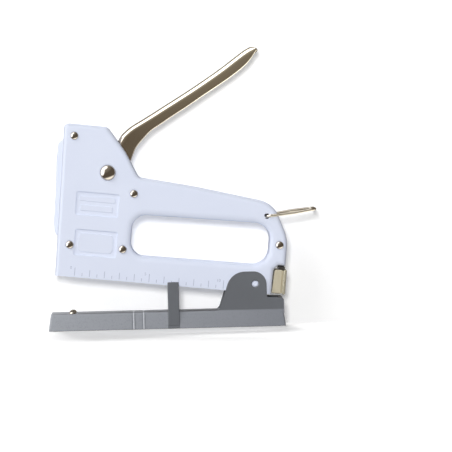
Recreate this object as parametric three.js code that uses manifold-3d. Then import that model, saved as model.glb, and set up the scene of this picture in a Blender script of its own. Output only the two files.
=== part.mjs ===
// Hand staple tacker on a hinged stapling base.
// Millimetres, +Z up. The origin is the middle of the base's underside; the nose points to -X.
import * as THREE from "three";
import { mergeVertices, toCreasedNormals } from "three/addons/utils/BufferGeometryUtils.js";
import Module from "manifold-3d";

const wasm = await Module();
wasm.setup();

// Driving dimensions of the housing. Its own frame starts at the foot of the nose:
// x runs back along the underside and z up from it.
const bodyLength = 151.8; // nose to the rearmost point
const headHeight = 102.4; // underside to the top of the head
const bodyWidth = 28; // over both shells
const shellWall = 2.5;
const edgeFillet = 3;
const magazineHeight = 13.5; // underside to the top of the magazine channel
const magazineWidth = 17.4;

// Driving dimensions of the lever and the lock bail.
const leverLength = 129.3; // pivot to tip
const leverSheet = 1.5;
const leverOpenAngle = 45.4 * (Math.PI / 180); // of the lever's chord above the underside
const leverPivotRadius = 2.5;
const clawReach = 14; // pivot to the middle of the claw's nose
const clawDrop = 22.5 * (Math.PI / 180); // of the claw below level while the lever is open
const bailLength = 32.5;
const bailWire = 2;
const bailRise = 13.65 * (Math.PI / 180);

// Driving dimensions of the stapling base.
const frontOverhang = 6.3; // of the base ahead of the nose when it is shut
const rearOverhang = 0.7;
const sideOverhang = 6; // of the base past the housing
const flankFlare = 3; // of each side of the bar between its top and its foot
const barHeight = 11.3;
const basePivotHeight = 28.67;
const basePivotInset = 19.3; // from the housing's rear end
const basePivotRise = 6.28; // from the housing's underside
const openAngle = 6.38 * (Math.PI / 180); // between the housing and its base
const plasticWall = 2.5;

// Clearances, and the run of every cut past the face that it opens.
const gap = 0.3; // between pieces that touch
const slide = 0.6; // between pieces that run past each other
const leverSideRoom = 2.5; // between the lever and each shell
const overrun = 4;
const weld = 1e-4; // vertices closer than this are one

// Counts and angles of the facets.
const cornerStep = Math.PI / 12;
const roundSides = 20;
const wireSides = 8;
const filletSteps = 3;
const creaseAngle = Math.PI / 7;

const bodyHalf = bodyWidth / 2;
const hollowHalf = bodyHalf - shellWall;
const leverWidth = 2 * (hollowHalf - leverSideRoom);
const baseWidth = bodyWidth + 2 * sideOverhang;
const barTopWidth = baseWidth - 2 * flankFlare;
const baseLength = bodyLength + frontOverhang + rearOverhang;
const basePivotX = baseLength / 2 - rearOverhang - basePivotInset;

// Outlines and solids

// Corners are [x, y, radius]. A corner with a radius turns into an arc.
function outline(corners) {
  return corners.flatMap(([x, y, radius = 0], i) => {
    const corner = new THREE.Vector2(x, y);
    if (!radius) return [corner];
    const [beforeX, beforeY] = corners.at(i - 1);
    const [afterX, afterY] = corners[(i + 1) % corners.length];
    const back = new THREE.Vector2(beforeX - x, beforeY - y).normalize();
    const on = new THREE.Vector2(afterX - x, afterY - y).normalize();
    const half = Math.acos(THREE.MathUtils.clamp(back.dot(on), -1, 1)) / 2;
    const inwards = back.clone().add(on).normalize();
    const centre = corner.clone().addScaledVector(inwards, radius / Math.sin(half));
    const start = corner.clone().addScaledVector(back, radius / Math.tan(half));
    const sweep = (Math.PI - 2 * half) * -Math.sign(back.cross(on));
    const steps = Math.max(2, Math.ceil(Math.abs(sweep) / cornerStep));
    return Array.from({ length: steps + 1 }, (_, k) =>
      start.clone().rotateAround(centre, (sweep * k) / steps),
    );
  });
}

// The same corners with every edge moved inwards; a negative distance moves them outwards.
function inset(corners, distance) {
  return corners.map(([x, y, radius = 0], i) => {
    const [beforeX, beforeY] = corners.at(i - 1);
    const [afterX, afterY] = corners[(i + 1) % corners.length];
    const into = new THREE.Vector2(x - beforeX, y - beforeY).normalize();
    const out = new THREE.Vector2(afterX - x, afterY - y).normalize();
    const share = distance / (1 + into.dot(out));
    const moved = [x - (into.y + out.y) * share, y + (into.x + out.x) * share];
    const convex = into.cross(out) > 0;
    const kept = convex ? Math.max(radius - distance, 0) : radius + distance;
    return [...moved, radius ? kept : 0];
  });
}

function rectangle(low, high, bottom, top, radius = 0) {
  return [
    [low, bottom, radius],
    [high, bottom, radius],
    [high, top, radius],
    [low, top, radius],
  ];
}

function circle(x, y, radius, sides = roundSides) {
  return Array.from({ length: sides }, (_, k) =>
    new THREE.Vector2(x + radius, y).rotateAround(new THREE.Vector2(x, y), (k / sides) * 2 * Math.PI),
  );
}

function shapeOf(points, holes) {
  const shape = new THREE.Shape(points);
  shape.holes = holes.map((hole) => new THREE.Path(hole));
  return shape;
}

// A closed mesh as a solid that can be cut and joined.
function solid(geometry) {
  const bare = geometry.clone();
  bare.deleteAttribute("normal");
  bare.deleteAttribute("uv");
  const merged = mergeVertices(bare, weld);
  const faces = [];
  for (let i = 0; i < merged.index.count; i += 3) {
    const [a, b, c] = merged.index.array.slice(i, i + 3);
    if (a !== b && b !== c && c !== a) faces.push(a, b, c);
  }
  const mesh = new wasm.Mesh({
    numProp: 3,
    vertProperties: merged.attributes.position.array,
    triVerts: Uint32Array.from(faces),
  });
  return new wasm.Manifold(mesh);
}

// A flat outline in x and z with a thickness across the tool, its rims rounded by a fillet.
function plate(points, low, high, { holes = [], fillet = 0, steps = filletSteps } = {}) {
  const geometry = new THREE.ExtrudeGeometry(shapeOf(points, holes), {
    depth: high - low - 2 * fillet,
    bevelEnabled: fillet > 0,
    bevelThickness: fillet,
    bevelSize: fillet,
    bevelOffset: -fillet,
    bevelSegments: steps,
  });
  geometry.rotateX(Math.PI / 2);
  geometry.translate(0, high - fillet, 0);
  return solid(geometry);
}

// A section in y and z that runs along x.
function bar(points, low, high, holes = []) {
  const geometry = new THREE.ExtrudeGeometry(shapeOf(points, holes), {
    depth: high - low,
    bevelEnabled: false,
  });
  const alongX = new THREE.Matrix4().makeBasis(
    new THREE.Vector3(0, 1, 0),
    new THREE.Vector3(0, 0, 1),
    new THREE.Vector3(1, 0, 0),
  );
  geometry.applyMatrix4(alongX);
  geometry.translate(low, 0, 0);
  return solid(geometry);
}

// A block between two corners.
function block([lowX, highX], [lowY, highY], [lowZ, highZ]) {
  return plate(outline(rectangle(lowX, highX, lowZ, highZ)), lowY, highY);
}

// A block on each side of the tool's middle plane, between two distances from it.
function blockPair(xs, [near, far], zs) {
  return block(xs, [near, far], zs).add(block(xs, [-far, -near], zs));
}

// A round pin across the tool.
function crossPin([x, z], radius, low, high, sides = roundSides) {
  return plate(circle(x, z, radius, sides), low, high);
}

// A turned piece. The profile is [radius, height] from one end of its axis to the other.
function turned(profile, sides = roundSides) {
  return solid(
    new THREE.LatheGeometry(
      profile.map(([radius, height]) => new THREE.Vector2(radius, height)),
      sides,
    ),
  );
}

// Rings of equal point counts joined along a path; flat gives the ring's outline for the ends.
function loft(rings, flat) {
  const count = flat.length;
  const positions = rings.flat().flatMap((point) => point.toArray());
  const faces = [];
  rings.slice(1).forEach((_, i) => {
    flat.forEach((__, j) => {
      const next = (j + 1) % count;
      const [a, b] = [i * count + j, i * count + next];
      faces.push(a, b, b + count, a, b + count, a + count);
    });
  });
  const last = (rings.length - 1) * count;
  THREE.ShapeUtils.triangulateShape(flat, []).forEach(([a, b, c]) => {
    faces.push(c, b, a, last + a, last + b, last + c);
  });
  const geometry = new THREE.BufferGeometry();
  geometry.setAttribute("position", new THREE.Float32BufferAttribute(positions, 3));
  geometry.setIndex(faces);
  return solid(geometry);
}

// A round wire along a list of points.
function wire(points, radius, sides = wireSides) {
  const flat = circle(0, 0, radius, sides);
  const heading = (i) =>
    points[Math.min(i + 1, points.length - 1)].clone().sub(points[Math.max(i - 1, 0)]).normalize();
  const first = heading(0);
  const side = Math.abs(first.y) < Math.SQRT1_2 ? new THREE.Vector3(0, 1, 0) : new THREE.Vector3(1, 0, 0);
  let across = side.addScaledVector(first, -side.dot(first)).normalize();
  const rings = points.map((point, i) => {
    const along = heading(i);
    across = across.clone().addScaledVector(along, -across.dot(along)).normalize();
    const up = along.clone().cross(across);
    return flat.map(({ x, y }) =>
      point.clone().addScaledVector(across, x).addScaledVector(up, y),
    );
  });
  return loft(rings, flat);
}

// A list of points with every inner corner rounded by short straight steps.
function bentPath(points, radius, steps = 4) {
  return points.flatMap((point, i) => {
    if (i === 0 || i === points.length - 1) return [point];
    const start = point.clone().add(points[i - 1].clone().sub(point).setLength(radius));
    const end = point.clone().add(points[i + 1].clone().sub(point).setLength(radius));
    const curve = new THREE.QuadraticBezierCurve3(start, point, end);
    return curve.getPoints(steps);
  });
}

// The points of a coil round an axis, from one end to the other.
function coilPath(curls, radius, place, stepsPerCurl = 8) {
  const count = curls * stepsPerCurl;
  return Array.from({ length: count + 1 }, (_, k) => {
    const turn = (k / stepsPerCurl) * 2 * Math.PI;
    return place(radius * Math.cos(turn), radius * Math.sin(turn), k / count);
  });
}

function geometryOf(body) {
  const { vertProperties, triVerts } = body.getMesh();
  const geometry = new THREE.BufferGeometry();
  geometry.setAttribute("position", new THREE.BufferAttribute(vertProperties, 3));
  geometry.setIndex(new THREE.BufferAttribute(triVerts, 1));
  return toCreasedNormals(geometry, creaseAngle);
}

function piece(parent, name, body, finish) {
  const mesh = new THREE.Mesh(geometryOf(body), finish());
  mesh.name = name;
  parent.add(mesh);
  return mesh;
}

// Finishes

function finish(color, roughness, metalness) {
  return () => new THREE.MeshStandardMaterial({ color, roughness, metalness });
}
const housingPlastic = finish(0xdcdff6, 0.42, 0);
const basePlastic = finish(0x646a72, 0.6, 0);
const brightPlate = finish(0xc9c2ad, 0.18, 1);
const goldPlate = finish(0xc9bf9a, 0.38, 0.9);
const toolSteel = finish(0x8d9096, 0.35, 1);
const sheetSteel = finish(0xaab0b5, 0.4, 1);
const springSteel = finish(0x6c6f74, 0.35, 1);
const rubber = finish(0x2a2b2d, 0.85, 0);

// Places on the housing, as shares of its length and height

const onBody = ([xShare, zShare]) => [xShare * bodyLength, zShare * headHeight];
const bailHinge = onBody([0.8995, 0.5077]);
const basePivot = [bodyLength - basePivotInset, basePivotRise];

// Corners given as shares of the housing's length and height, the radius as a share of its height.
const cornersOnBody = (shares) =>
  shares.map(([x, z, radius = 0]) => [...onBody([x, z]), radius * headHeight]);

// Return spring of the lever, coiled round the rivet beside the claw
const returnWire = 1.1;
const returnCoilRadius = 6;
const returnCurls = 2;
const returnStopDrop = 12; // below the lever's rivet

// Stack behind the nose, from front to rear: nose plate, driver blade, magazine and plunger
const noseDepth = 7.4;
const guideSheet = 1.2;
const bladeSheet = 1.2;
const bladeWidth = 12;
const bladeX = noseDepth + guideSheet + slide;
const magazineX = bladeX + bladeSheet + slide;
const plungerX = bladeX + bladeSheet + gap;
const plungerFront = 0.85; // of its wall ahead of the claw's window
const plungerSideRoom = 0.5;
const plungerWidth = leverWidth - 2 * (leverSheet + plungerSideRoom);
const clawNose = 2;
const windowX = plungerX + plungerFront;
const leverPivotShare = 0.7003; // of the head's height
const leverPivotX = windowX + slide / 2 + clawNose + clawReach;
const leverPivotZ = leverPivotShare * headHeight;
const leverPivot = [leverPivotX, leverPivotZ];
const plungerRear = leverPivotX - returnCoilRadius - returnWire / 2 - slide;
const plungerDepth = plungerRear - plungerX;
const returnStopZ = leverPivotZ - returnStopDrop;
const clawNoseX = leverPivotX - clawReach * Math.cos(clawDrop);
const clawNoseZ = leverPivotZ - clawReach * Math.sin(clawDrop);
const driverRise = 2 * clawReach * Math.sin(clawDrop);
const plungerBelow = 9; // the plunger's foot under the claw's nose
const plungerAbove = 8.4;
const bumperHeight = 6.8;
const shelfHeight = 2.2;
const plungerFoot = clawNoseZ - plungerBelow;
const plungerTop = clawNoseZ + plungerAbove;
const bumperFoot = plungerFoot - gap - bumperHeight;

// Rivets, with the bosses that carry them
const rivetShank = 1.5;
const rivetHead = 2.8;
const rivetDome = 1.5;
const pivotHead = 5.3;
const pivotDome = 2.6;
const bossWall = 1.6;
const collarWall = 2.2;
const rivetAheadOfPlate = 0.81; // the front rivet's middle ahead of the nose plate
const rivetPlaces = {
  housing_rivet_top: onBody([0.0226, 0.9222]),
  housing_rivet_middle: onBody([0.3063, 0.5777]),
  housing_rivet_front: [noseDepth - rivetAheadOfPlate, 0.2097 * headHeight],
  housing_rivet_low: onBody([0.2776, 0.2092]),
  housing_rivet_rear: onBody([0.9665, 0.3255]),
};

function domedRivet([x, z], shank, head, dome, halfLength) {
  const domeSteps = 4;
  const cap = (sign) =>
    Array.from({ length: domeSteps }, (_, k) => {
      const angle = (k / domeSteps) * (Math.PI / 2);
      return [head * Math.cos(angle), sign * (halfLength + dome * Math.sin(angle))];
    });
  const profile = [
    [0, -halfLength - dome],
    ...cap(-1).reverse(),
    [shank, -halfLength],
    [shank, halfLength],
    ...cap(1),
    [0, halfLength + dome],
  ];
  return turned(profile).translate(x, 0, z);
}

// Housing: two shells that meet in the middle plane

const notchDepth = 7.8; // of the cut-out for the rear cap, from the housing's rear
const notchHeight = 19.8;
const notchChamfer = 3;
// Radii are given past the edge fillet, as shares of the head's height. The head's corners lie
// at shares of the lever's length behind the lever's rivet.
const handleShares = [
  [1, 0.372, 0.2147],
  [0.9242, 0.5947, 0.1367],
  [0.58, 0.6572, 3.87],
];
const headShares = [
  [0.1605, 0.6865, 0.0197],
  [0.0823, 0.8457, 0.3607],
  [-0.0236, 0.9985, 0.0197],
];
const noseTopShares = [-0.0211, 1, 0.0027];
const openingShares = [
  [0.3133, 0.1738, 0.093],
  [0.921, 0.1846, 0.107],
  [0.921, 0.459, 0.107],
  [0.3133, 0.4424, 0.093],
];
const coverShares = [
  [-0.0112, 0.894],
  [-0.0224, 0.894],
  [-0.0402, 0.864, 0.012],
  [-0.0415, 0.752, 0.4],
  [-0.031, 0.57, 0.8],
  [-0.0264, 0.348, 0.2],
  [-0.0204, 0.29],
  [-0.0092, 0.2627],
  [0.0079, 0.2627],
];
const coverWidth = 16;
const coverWall = 1.8;
const labelShares = [
  { low: [0.054, 0.4102], high: [0.2437, 0.5635] },
  { low: [0.0626, 0.1465], high: [0.2503, 0.3174] },
];
const labelDepth = 0.6;
const labelCorner = 1.2;
// The lever's slot, as shares of the lever's length from its rivet: over the open lever, in the
// lever's own frame, and round the closed one, in the housing's.
const slotOverOpenShares = [
  [0.0904, 0.0821],
  [0.1472, 0.089],
  [0.2136, 0.095],
];
const slotRoundClosedShares = [
  [0.2718, 0.071],
  [0.1907, 0.0156],
  [0.1907, -0.0403],
  [0.094, -0.0403],
];
const baseBossRadius = 2.1;
const earHoleClearance = 0.4;

function housingCorners(foot) {
  const notchX = bodyLength - notchDepth;
  const rounded = ([x, z], radiusShare) => [x, z, edgeFillet + radiusShare * headHeight];
  return [
    [0, foot],
    [notchX, foot],
    [notchX, notchHeight - notchChamfer],
    [notchX + notchChamfer, notchHeight],
    [bodyLength, notchHeight],
    ...handleShares.map(([x, z, radius]) => rounded(onBody([x, z]), radius)),
    ...headShares.map(([x, z, radius]) =>
      rounded([leverPivotX + x * leverLength, z * headHeight], radius),
    ),
    rounded(onBody(noseTopShares), noseTopShares[2]),
  ];
}

// Both shells as one hollow body. The rim stays crisp along the underside, where it is cut flat.
function housingWall() {
  const openingCorners = cornersOnBody(openingShares);
  const skin = plate(outline(housingCorners(-edgeFillet * 0.7)), -bodyHalf, bodyHalf, {
    holes: [outline(openingCorners)],
    fillet: edgeFillet,
  });
  const hollow = plate(outline(inset(housingCorners(0), shellWall)), -hollowHalf, hollowHalf, {
    holes: [outline(inset(openingCorners, -shellWall))],
  });
  const below = block([-bodyWidth, bodyLength + bodyWidth], [-bodyWidth, bodyWidth], [-bodyWidth, 0]);
  return skin.subtract(hollow).subtract(below);
}

function housingBosses() {
  const inside = hollowHalf + shellWall / 2;
  const rivets = Object.values(rivetPlaces).map((place) =>
    crossPin(place, rivetShank + gap + bossWall, -inside, inside, 14),
  );
  const collarFoot = leverWidth / 2 + gap;
  const collars = [1, -1].map((side) => {
    const [low, high] = [side * collarFoot, side * inside].sort((a, b) => a - b);
    return crossPin(leverPivot, leverPivotRadius + gap + collarWall, low, high);
  });
  const shelf = blockPair(
    [magazineX, plungerRear],
    [plungerWidth / 2 + slide, inside],
    [bumperFoot - gap - shelfHeight, bumperFoot - gap],
  );
  const springStop = blockPair(
    [leverPivotX + returnCoilRadius - returnWire, leverPivotX + returnCoilRadius + returnWire],
    [returnWire, inside],
    [returnStopZ - shelfHeight, returnStopZ],
  );
  const baseBosses = [1, -1].map((side) => {
    const [low, high] = [side * inside, side * (earInner + plasticWall - gap)].sort((a, b) => a - b);
    return crossPin(basePivot, baseBossRadius, low, high, 16);
  });
  return [...rivets, ...collars, shelf, springStop, ...baseBosses].reduce((a, b) => a.add(b));
}

function housingCuts() {
  const out = bodyHalf + overrun;
  const bores = Object.values(rivetPlaces).map((place) =>
    crossPin(place, rivetShank + gap, -out, out, 14),
  );
  const pivotBore = crossPin(leverPivot, leverPivotRadius + gap, -out, out);
  const bailBore = crossPin(bailHinge, bailWire / 2 + gap, -out, out, 14);
  const tunnel = block(
    [noseDepth - gap, bodyLength - notchDepth + shellWall],
    [-magazineWidth / 2 - gap, magazineWidth / 2 + gap],
    [-overrun, magazineHeight + gap],
  );
  const bladeWay = block(
    [bladeX - slide, bladeX + bladeSheet + gap],
    [-bladeWidth / 2 - gap, bladeWidth / 2 + gap],
    [-overrun, plungerFoot],
  );
  const [, coverFoot] = onBody(coverShares.at(-1));
  const [, coverTop] = onBody(coverShares[0]);
  const coverSlot = block(
    [-bodyHalf, shellWall],
    [-coverWidth / 2 - gap, coverWidth / 2 + gap],
    [coverFoot - gap, coverTop + gap],
  );
  const slotHalf = leverWidth / 2 + slide;
  const fromRivet = ([x, z], angle) => {
    const offset = new THREE.Vector2(x * leverLength, z * leverLength);
    offset.rotateAround(new THREE.Vector2(), angle);
    return [leverPivotX + offset.x, leverPivotZ + offset.y];
  };
  const slotCorners = [
    ...slotOverOpenShares.map((shares) => fromRivet(shares, leverOpenAngle)),
    ...slotRoundClosedShares.map((shares) => fromRivet(shares, 0)),
  ];
  const leverSlot = plate(outline(slotCorners), -slotHalf, slotHalf);
  const labels = labelShares.map(({ low, high }) => {
    const [lowX, lowZ] = onBody(low);
    const [highX, highZ] = onBody(high);
    const frame = outline(rectangle(lowX, highX, lowZ, highZ, labelCorner));
    return plate(frame, -out, labelDepth - bodyHalf);
  });
  return [...bores, pivotBore, bailBore, tunnel, bladeWay, coverSlot, leverSlot, ...labels].reduce(
    (a, b) => a.add(b),
  );
}

function addHousing(tool) {
  const body = housingWall().add(housingBosses()).subtract(housingCuts());
  const around = bodyLength + bodyWidth;
  const side = (low, high) => block([-bodyWidth, around], [low, high], [-bodyWidth, around]);
  piece(tool, "housing_left", body.intersect(side(-bodyWidth, -gap / 2)), housingPlastic);
  piece(tool, "housing_right", body.intersect(side(gap / 2, bodyWidth)), housingPlastic);
}

function addNoseCover(tool) {
  const corners = cornersOnBody(coverShares);
  const half = coverWidth / 2;
  const skin = plate(outline(corners), -half, half, { fillet: coverWall / 2, steps: 2 });
  const [, foot] = corners.at(-1);
  const [, top] = corners[0];
  const room = block([-bodyHalf, bodyHalf], [-bodyHalf, bodyHalf], [foot + coverWall, top - coverWall]);
  const pocket = plate(outline(corners), coverWall - half, half - coverWall).intersect(room);
  piece(tool, "nose_cover", skin.subtract(pocket.translate(coverWall, 0, 0)), housingPlastic);
}

function addRivets(tool) {
  const seat = bodyHalf + gap;
  Object.entries(rivetPlaces).forEach(([name, place]) => {
    const rivet = domedRivet(place, rivetShank, rivetHead, rivetDome, seat);
    piece(tool, name, rivet, brightPlate);
  });
  const pivot = domedRivet(leverPivot, leverPivotRadius, pivotHead, pivotDome, seat);
  piece(tool, "lever_rivet", pivot, brightPlate);
}

// Drive: the claw lifts the plunger and its blade against the main spring

const bladeFoot = 0.8; // above the underside
const bladeAbovePlunger = 3;
const clawThickness = 5;
const clawHub = returnCoilRadius - returnWire / 2 - slide;
const clawRoot = 4;
const clawNeck = 1.25;
const clawFlare = Math.PI / 6;
const capHeight = 3;
const spigotHeight = 3;
const mainSpringWire = 1.6;
const mainSpringRoom = 0.2; // before and behind the coil
const mainSpringWidth = plungerDepth - 2 * mainSpringRoom;
const mainSpringCurls = 6;
const spigotRadius = mainSpringWidth / 2 - mainSpringWire - slide;
const springSides = 5;

function addPlunger(driver) {
  const frame = outline(rectangle(plungerX, plungerRear, plungerFoot, plungerTop));
  const half = plungerWidth / 2;
  const windowHalf = clawNose + slide;
  const rear = plungerRear + overrun;
  const flare = windowHalf + (rear - clawNoseX) * Math.tan(clawFlare);
  const windowCorners = [
    [windowX, clawNoseZ - windowHalf, windowHalf / 2],
    [clawNoseX, clawNoseZ - windowHalf],
    [rear, clawNoseZ - flare],
    [rear, clawNoseZ + flare],
    [clawNoseX, clawNoseZ + windowHalf],
    [windowX, clawNoseZ + windowHalf, windowHalf / 2],
  ];
  const clawHalf = clawThickness / 2 + slide;
  const window = plate(outline(windowCorners), -clawHalf, clawHalf);
  const body = plate(frame, -half, half, { fillet: gap * 2, steps: 1 });
  piece(driver, "plunger", body.subtract(window), toolSteel);
}

function addBlade(driver) {
  const top = plungerTop - bladeAbovePlunger;
  const half = bladeWidth / 2;
  const blade = block([bladeX, bladeX + bladeSheet], [-half, half], [bladeFoot, top]);
  piece(driver, "driver_blade", blade, toolSteel);
}

function addSprings(tool) {
  const middle = plungerX + plungerDepth / 2;
  const radius = (mainSpringWidth - mainSpringWire) / 2;
  const foot = plungerTop + gap + mainSpringWire / 2;
  const capFoot = headHeight - shellWall - gap - capHeight;
  const head = capFoot - gap - mainSpringWire / 2;
  const points = coilPath(mainSpringCurls, radius, (x, y, share) =>
    new THREE.Vector3(middle + x, y, foot + (head - foot) * share),
  );
  piece(tool, "main_spring", wire(points, mainSpringWire / 2, springSides), springSteel);

  const half = hollowHalf - gap;
  const rim = block([plungerX, plungerRear], [-half, half], [capFoot, capFoot + capHeight]);
  const spigot = turned([
    [0, -spigotHeight],
    [spigotRadius, -spigotHeight],
    [spigotRadius, gap],
    [0, gap],
  ], 12)
    .rotate([90, 0, 0])
    .translate(middle, 0, capFoot);
  piece(tool, "spring_cap", rim.add(spigot), basePlastic);

  const bumper = block([magazineX, plungerRear], [-half, half], [bumperFoot, bumperFoot + bumperHeight]);
  piece(tool, "bumper", bumper, rubber);
}

function addReturnSpring(tool) {
  const start = clawThickness / 2 + gap + returnWire / 2;
  const end = leverWidth / 2 - leverSheet - gap - returnWire / 2;
  const coil = coilPath(returnCurls, returnCoilRadius, (x, z, share) =>
    new THREE.Vector3(leverPivotX + x, start + (end - start) * share, leverPivotZ + z),
  );
  const lowEnd = coil[0].clone().setZ(returnStopZ + gap);
  const [pinX, pinZ] = clawPinInTool();
  const highEnd = coil.at(-1).clone().set(pinX, coil.at(-1).y, pinZ - clawPin - gap - returnWire / 2);
  const points = [lowEnd, ...coil, highEnd];
  piece(tool, "lever_return_spring", wire(points, returnWire / 2, springSides), springSteel);
}

// Lever: a pressed channel, open underneath, on two ears round the rivet. Its own frame starts at
// the rivet, with x along the chord to the tip. Each station gives, as shares of the lever's
// length, its place, its top and its lower edge, and last its width as a share of the root's.
const leverStationShares = [
  [0.108, 0.077, -0.025, 1],
  [0.17, 0.0835, -0.003, 1],
  [0.2, 0.0895, 0.01, 1],
  [0.247, 0.085, 0.0215, 1],
  [0.309, 0.0758, 0.0286, 0.99],
  [0.371, 0.0673, 0.0224, 0.97],
  [0.44, 0.0534, 0.0131, 0.95],
  [0.534, 0.0379, -0.0015, 0.92],
  [0.626, 0.0255, -0.0124, 0.89],
  [0.727, 0.0131, -0.0232, 0.86],
  [0.804, 0.0124, -0.0325, 0.83],
  [0.889, 0.0116, -0.0325, 0.8],
  [0.944, 0.0147, -0.0255, 0.78],
  [0.982, 0.0139, -0.0155, 0.76],
  [1, 0.002, -0.0135, 0.74],
];
const leverEar = 8;
const leverBend = 2.4; // outer radius between the channel's top and its sides
const leverCurl = 1.6; // radius of the rolled edge at the tip
const clawPin = 1.4;
const clawPinShares = [0.085, 0.0155];
const clawPinEnd = 0.7; // past the ears on each side

const clawPinPlace = clawPinShares.map((share) => share * leverLength);

// Where the claw pin stands in the housing's frame while the lever is open.
function clawPinInTool() {
  const [x, z] = clawPinPlace;
  const turnedPlace = new THREE.Vector2(x, z).rotateAround(new THREE.Vector2(), leverOpenAngle);
  return [leverPivotX + turnedPlace.x, leverPivotZ + turnedPlace.y];
}

function channelSection(width, top, bottom) {
  const half = width / 2;
  const innerHalf = half - leverSheet;
  const bend = Math.min(leverBend, (top - bottom) / 2);
  const innerBend = bend - leverSheet / 2;
  const arc = (x, y, radius, from) =>
    [0, 1, 2, 3].map((k) => {
      const angle = from + (k / 3) * (Math.PI / 2);
      return new THREE.Vector2(x + radius * Math.cos(angle), y + radius * Math.sin(angle));
    });
  const outer = [
    ...arc(half - bend, top - bend, bend, 0),
    ...arc(bend - half, top - bend, bend, Math.PI / 2),
  ];
  const innerTop = top - leverSheet - innerBend;
  const inner = [
    ...arc(innerHalf - innerBend, innerTop, innerBend, 0),
    ...arc(innerBend - innerHalf, innerTop, innerBend, Math.PI / 2),
  ].reverse();
  return [
    new THREE.Vector2(half, bottom),
    ...outer,
    new THREE.Vector2(-half, bottom),
    new THREE.Vector2(-innerHalf, bottom),
    ...inner,
    new THREE.Vector2(innerHalf, bottom),
  ];
}

function leverChannel() {
  const sections = leverStationShares.map(([, top, bottom, width]) =>
    channelSection(width * leverWidth, top * leverLength, bottom * leverLength),
  );
  const rings = sections.map((section, i) =>
    section.map(({ x, y }) => new THREE.Vector3(leverStationShares[i][0] * leverLength, x, y)),
  );
  return loft(rings, sections[0]);
}

function leverEars() {
  const [rootX, rootTop] = leverStationShares[0].map((share) => share * leverLength);
  const [endX, endTop, endBottom] = leverStationShares[2].map((share) => share * leverLength);
  const earSpan = leverEar + rootTop - leverBend;
  const round = Math.min(leverEar * 0.9, earSpan * 0.48);
  const corners = [
    [-leverEar, -leverEar, round],
    [leverEar * 1.25, -leverEar, leverEar * 0.7],
    [endX, endBottom],
    [endX, endTop - leverBend],
    [rootX, rootTop - leverBend],
    [-leverEar, rootTop - leverBend, round],
  ];
  const [outer, inner] = [leverWidth / 2, leverWidth / 2 - leverSheet];
  const [pinX, pinZ] = clawPinPlace;
  const holes = [circle(0, 0, leverPivotRadius + gap), circle(pinX, pinZ, clawPin + gap, 14)];
  return plate(outline(corners), inner, outer, { holes }).add(
    plate(outline(corners), -outer, -inner, { holes }),
  );
}

function addLeverHandle(lever) {
  const [tipX, tipTop] = leverStationShares.at(-1).map((share) => share * leverLength);
  const curlHalf = (leverStationShares.at(-1)[3] * leverWidth) / 2 - leverSheet / 2;
  const curl = crossPin([tipX - leverCurl / 2, tipTop - leverCurl], leverCurl, -curlHalf, curlHalf, 14);
  piece(lever, "lever_handle", leverChannel().add(leverEars()).add(curl), brightPlate);
}

function addClaw(lever) {
  const angle = Math.PI + clawDrop - leverOpenAngle;
  const along = new THREE.Vector2(Math.cos(angle), Math.sin(angle));
  const across = new THREE.Vector2(-along.y, along.x);
  const at = (distance, offset) =>
    along.clone().multiplyScalar(distance).addScaledVector(across, offset);
  const nose = at(clawReach, 0);
  const half = clawThickness / 2;
  const arm = [at(0, clawRoot), at(clawReach, clawNeck), at(clawReach, -clawNeck), at(0, -clawRoot)];
  const [pinX, pinZ] = clawPinPlace;
  const lugRadius = clawPin + gap + bossWall;
  const lug = [[0, -clawRoot], [pinX, pinZ - lugRadius], [pinX, pinZ + lugRadius], [0, clawRoot]];
  const hubHalf = leverWidth / 2 - leverSheet - gap;
  const body = [
    crossPin([0, 0], clawHub, -hubHalf, hubHalf),
    plate(arm, -half, half),
    crossPin([nose.x, nose.y], clawNose, -half, half, 16),
    plate(outline(lug), -half, half),
    crossPin(clawPinPlace, lugRadius, -half, half, 16),
  ].reduce((a, b) => a.add(b));
  const bore = crossPin([0, 0], leverPivotRadius + gap, -leverWidth, leverWidth);
  const pinBore = crossPin(clawPinPlace, clawPin + gap, -leverWidth, leverWidth, 14);
  piece(lever, "lever_claw", body.subtract(bore).subtract(pinBore), toolSteel);

  const pinHalf = leverWidth / 2 + clawPinEnd;
  piece(lever, "claw_pin", crossPin(clawPinPlace, clawPin, -pinHalf, pinHalf, 14), toolSteel);
}

// Magazine: a fixed channel in the housing; the rear cap, its rail and rod draw out together

const magazineSheet = 1.2;
const pusherRoom = 0.7; // round the pusher in the channel
const pusherLength = 12;
const pusherFoot = 0.6;
const pusherWidth = magazineWidth - 2 * (magazineSheet + pusherRoom);
const pusherTop = magazineHeight - magazineSheet - pusherRoom;
const railWidthShare = 0.676470588; // of the pusher's width
const pusherCrown = 2.3; // over the rail
const railWidth = pusherWidth * railWidthShare;
const railTop = pusherTop - pusherCrown;
const railFoot = 1.5;
const railSheet = 1;
const rodRadius = 1;
const rodDrop = 3.5; // from the rail's ceiling to the rod
const rodZ = railTop - railSheet - rodDrop;
const pusherSpringWire = 0.7;
const pusherSpringRadius = 1.9;
const pusherSpringCurls = 26;
const capBodyLength = 5.5;
const capLip = 3.4;
const capWidth = 22.4;
const capLipWidth = 25;
const capFoot = 0.4;
const capTop = notchHeight - notchChamfer + gap;
const capWall = 1.6;
const capFillet = 0.8;
const capX = bodyLength - notchDepth + gap;
const capLipX = capX + capBodyLength;
const railEnd = capLipX - capWall - gap;

// A channel that is open underneath, as a section in y and z.
function archSection(width, foot, top, sheet) {
  const half = width / 2;
  return outline([
    [-half, foot],
    [sheet - half, foot],
    [sheet - half, top - sheet],
    [half - sheet, top - sheet],
    [half - sheet, foot],
    [half, foot],
    [half, top],
    [-half, top],
  ]);
}

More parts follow.
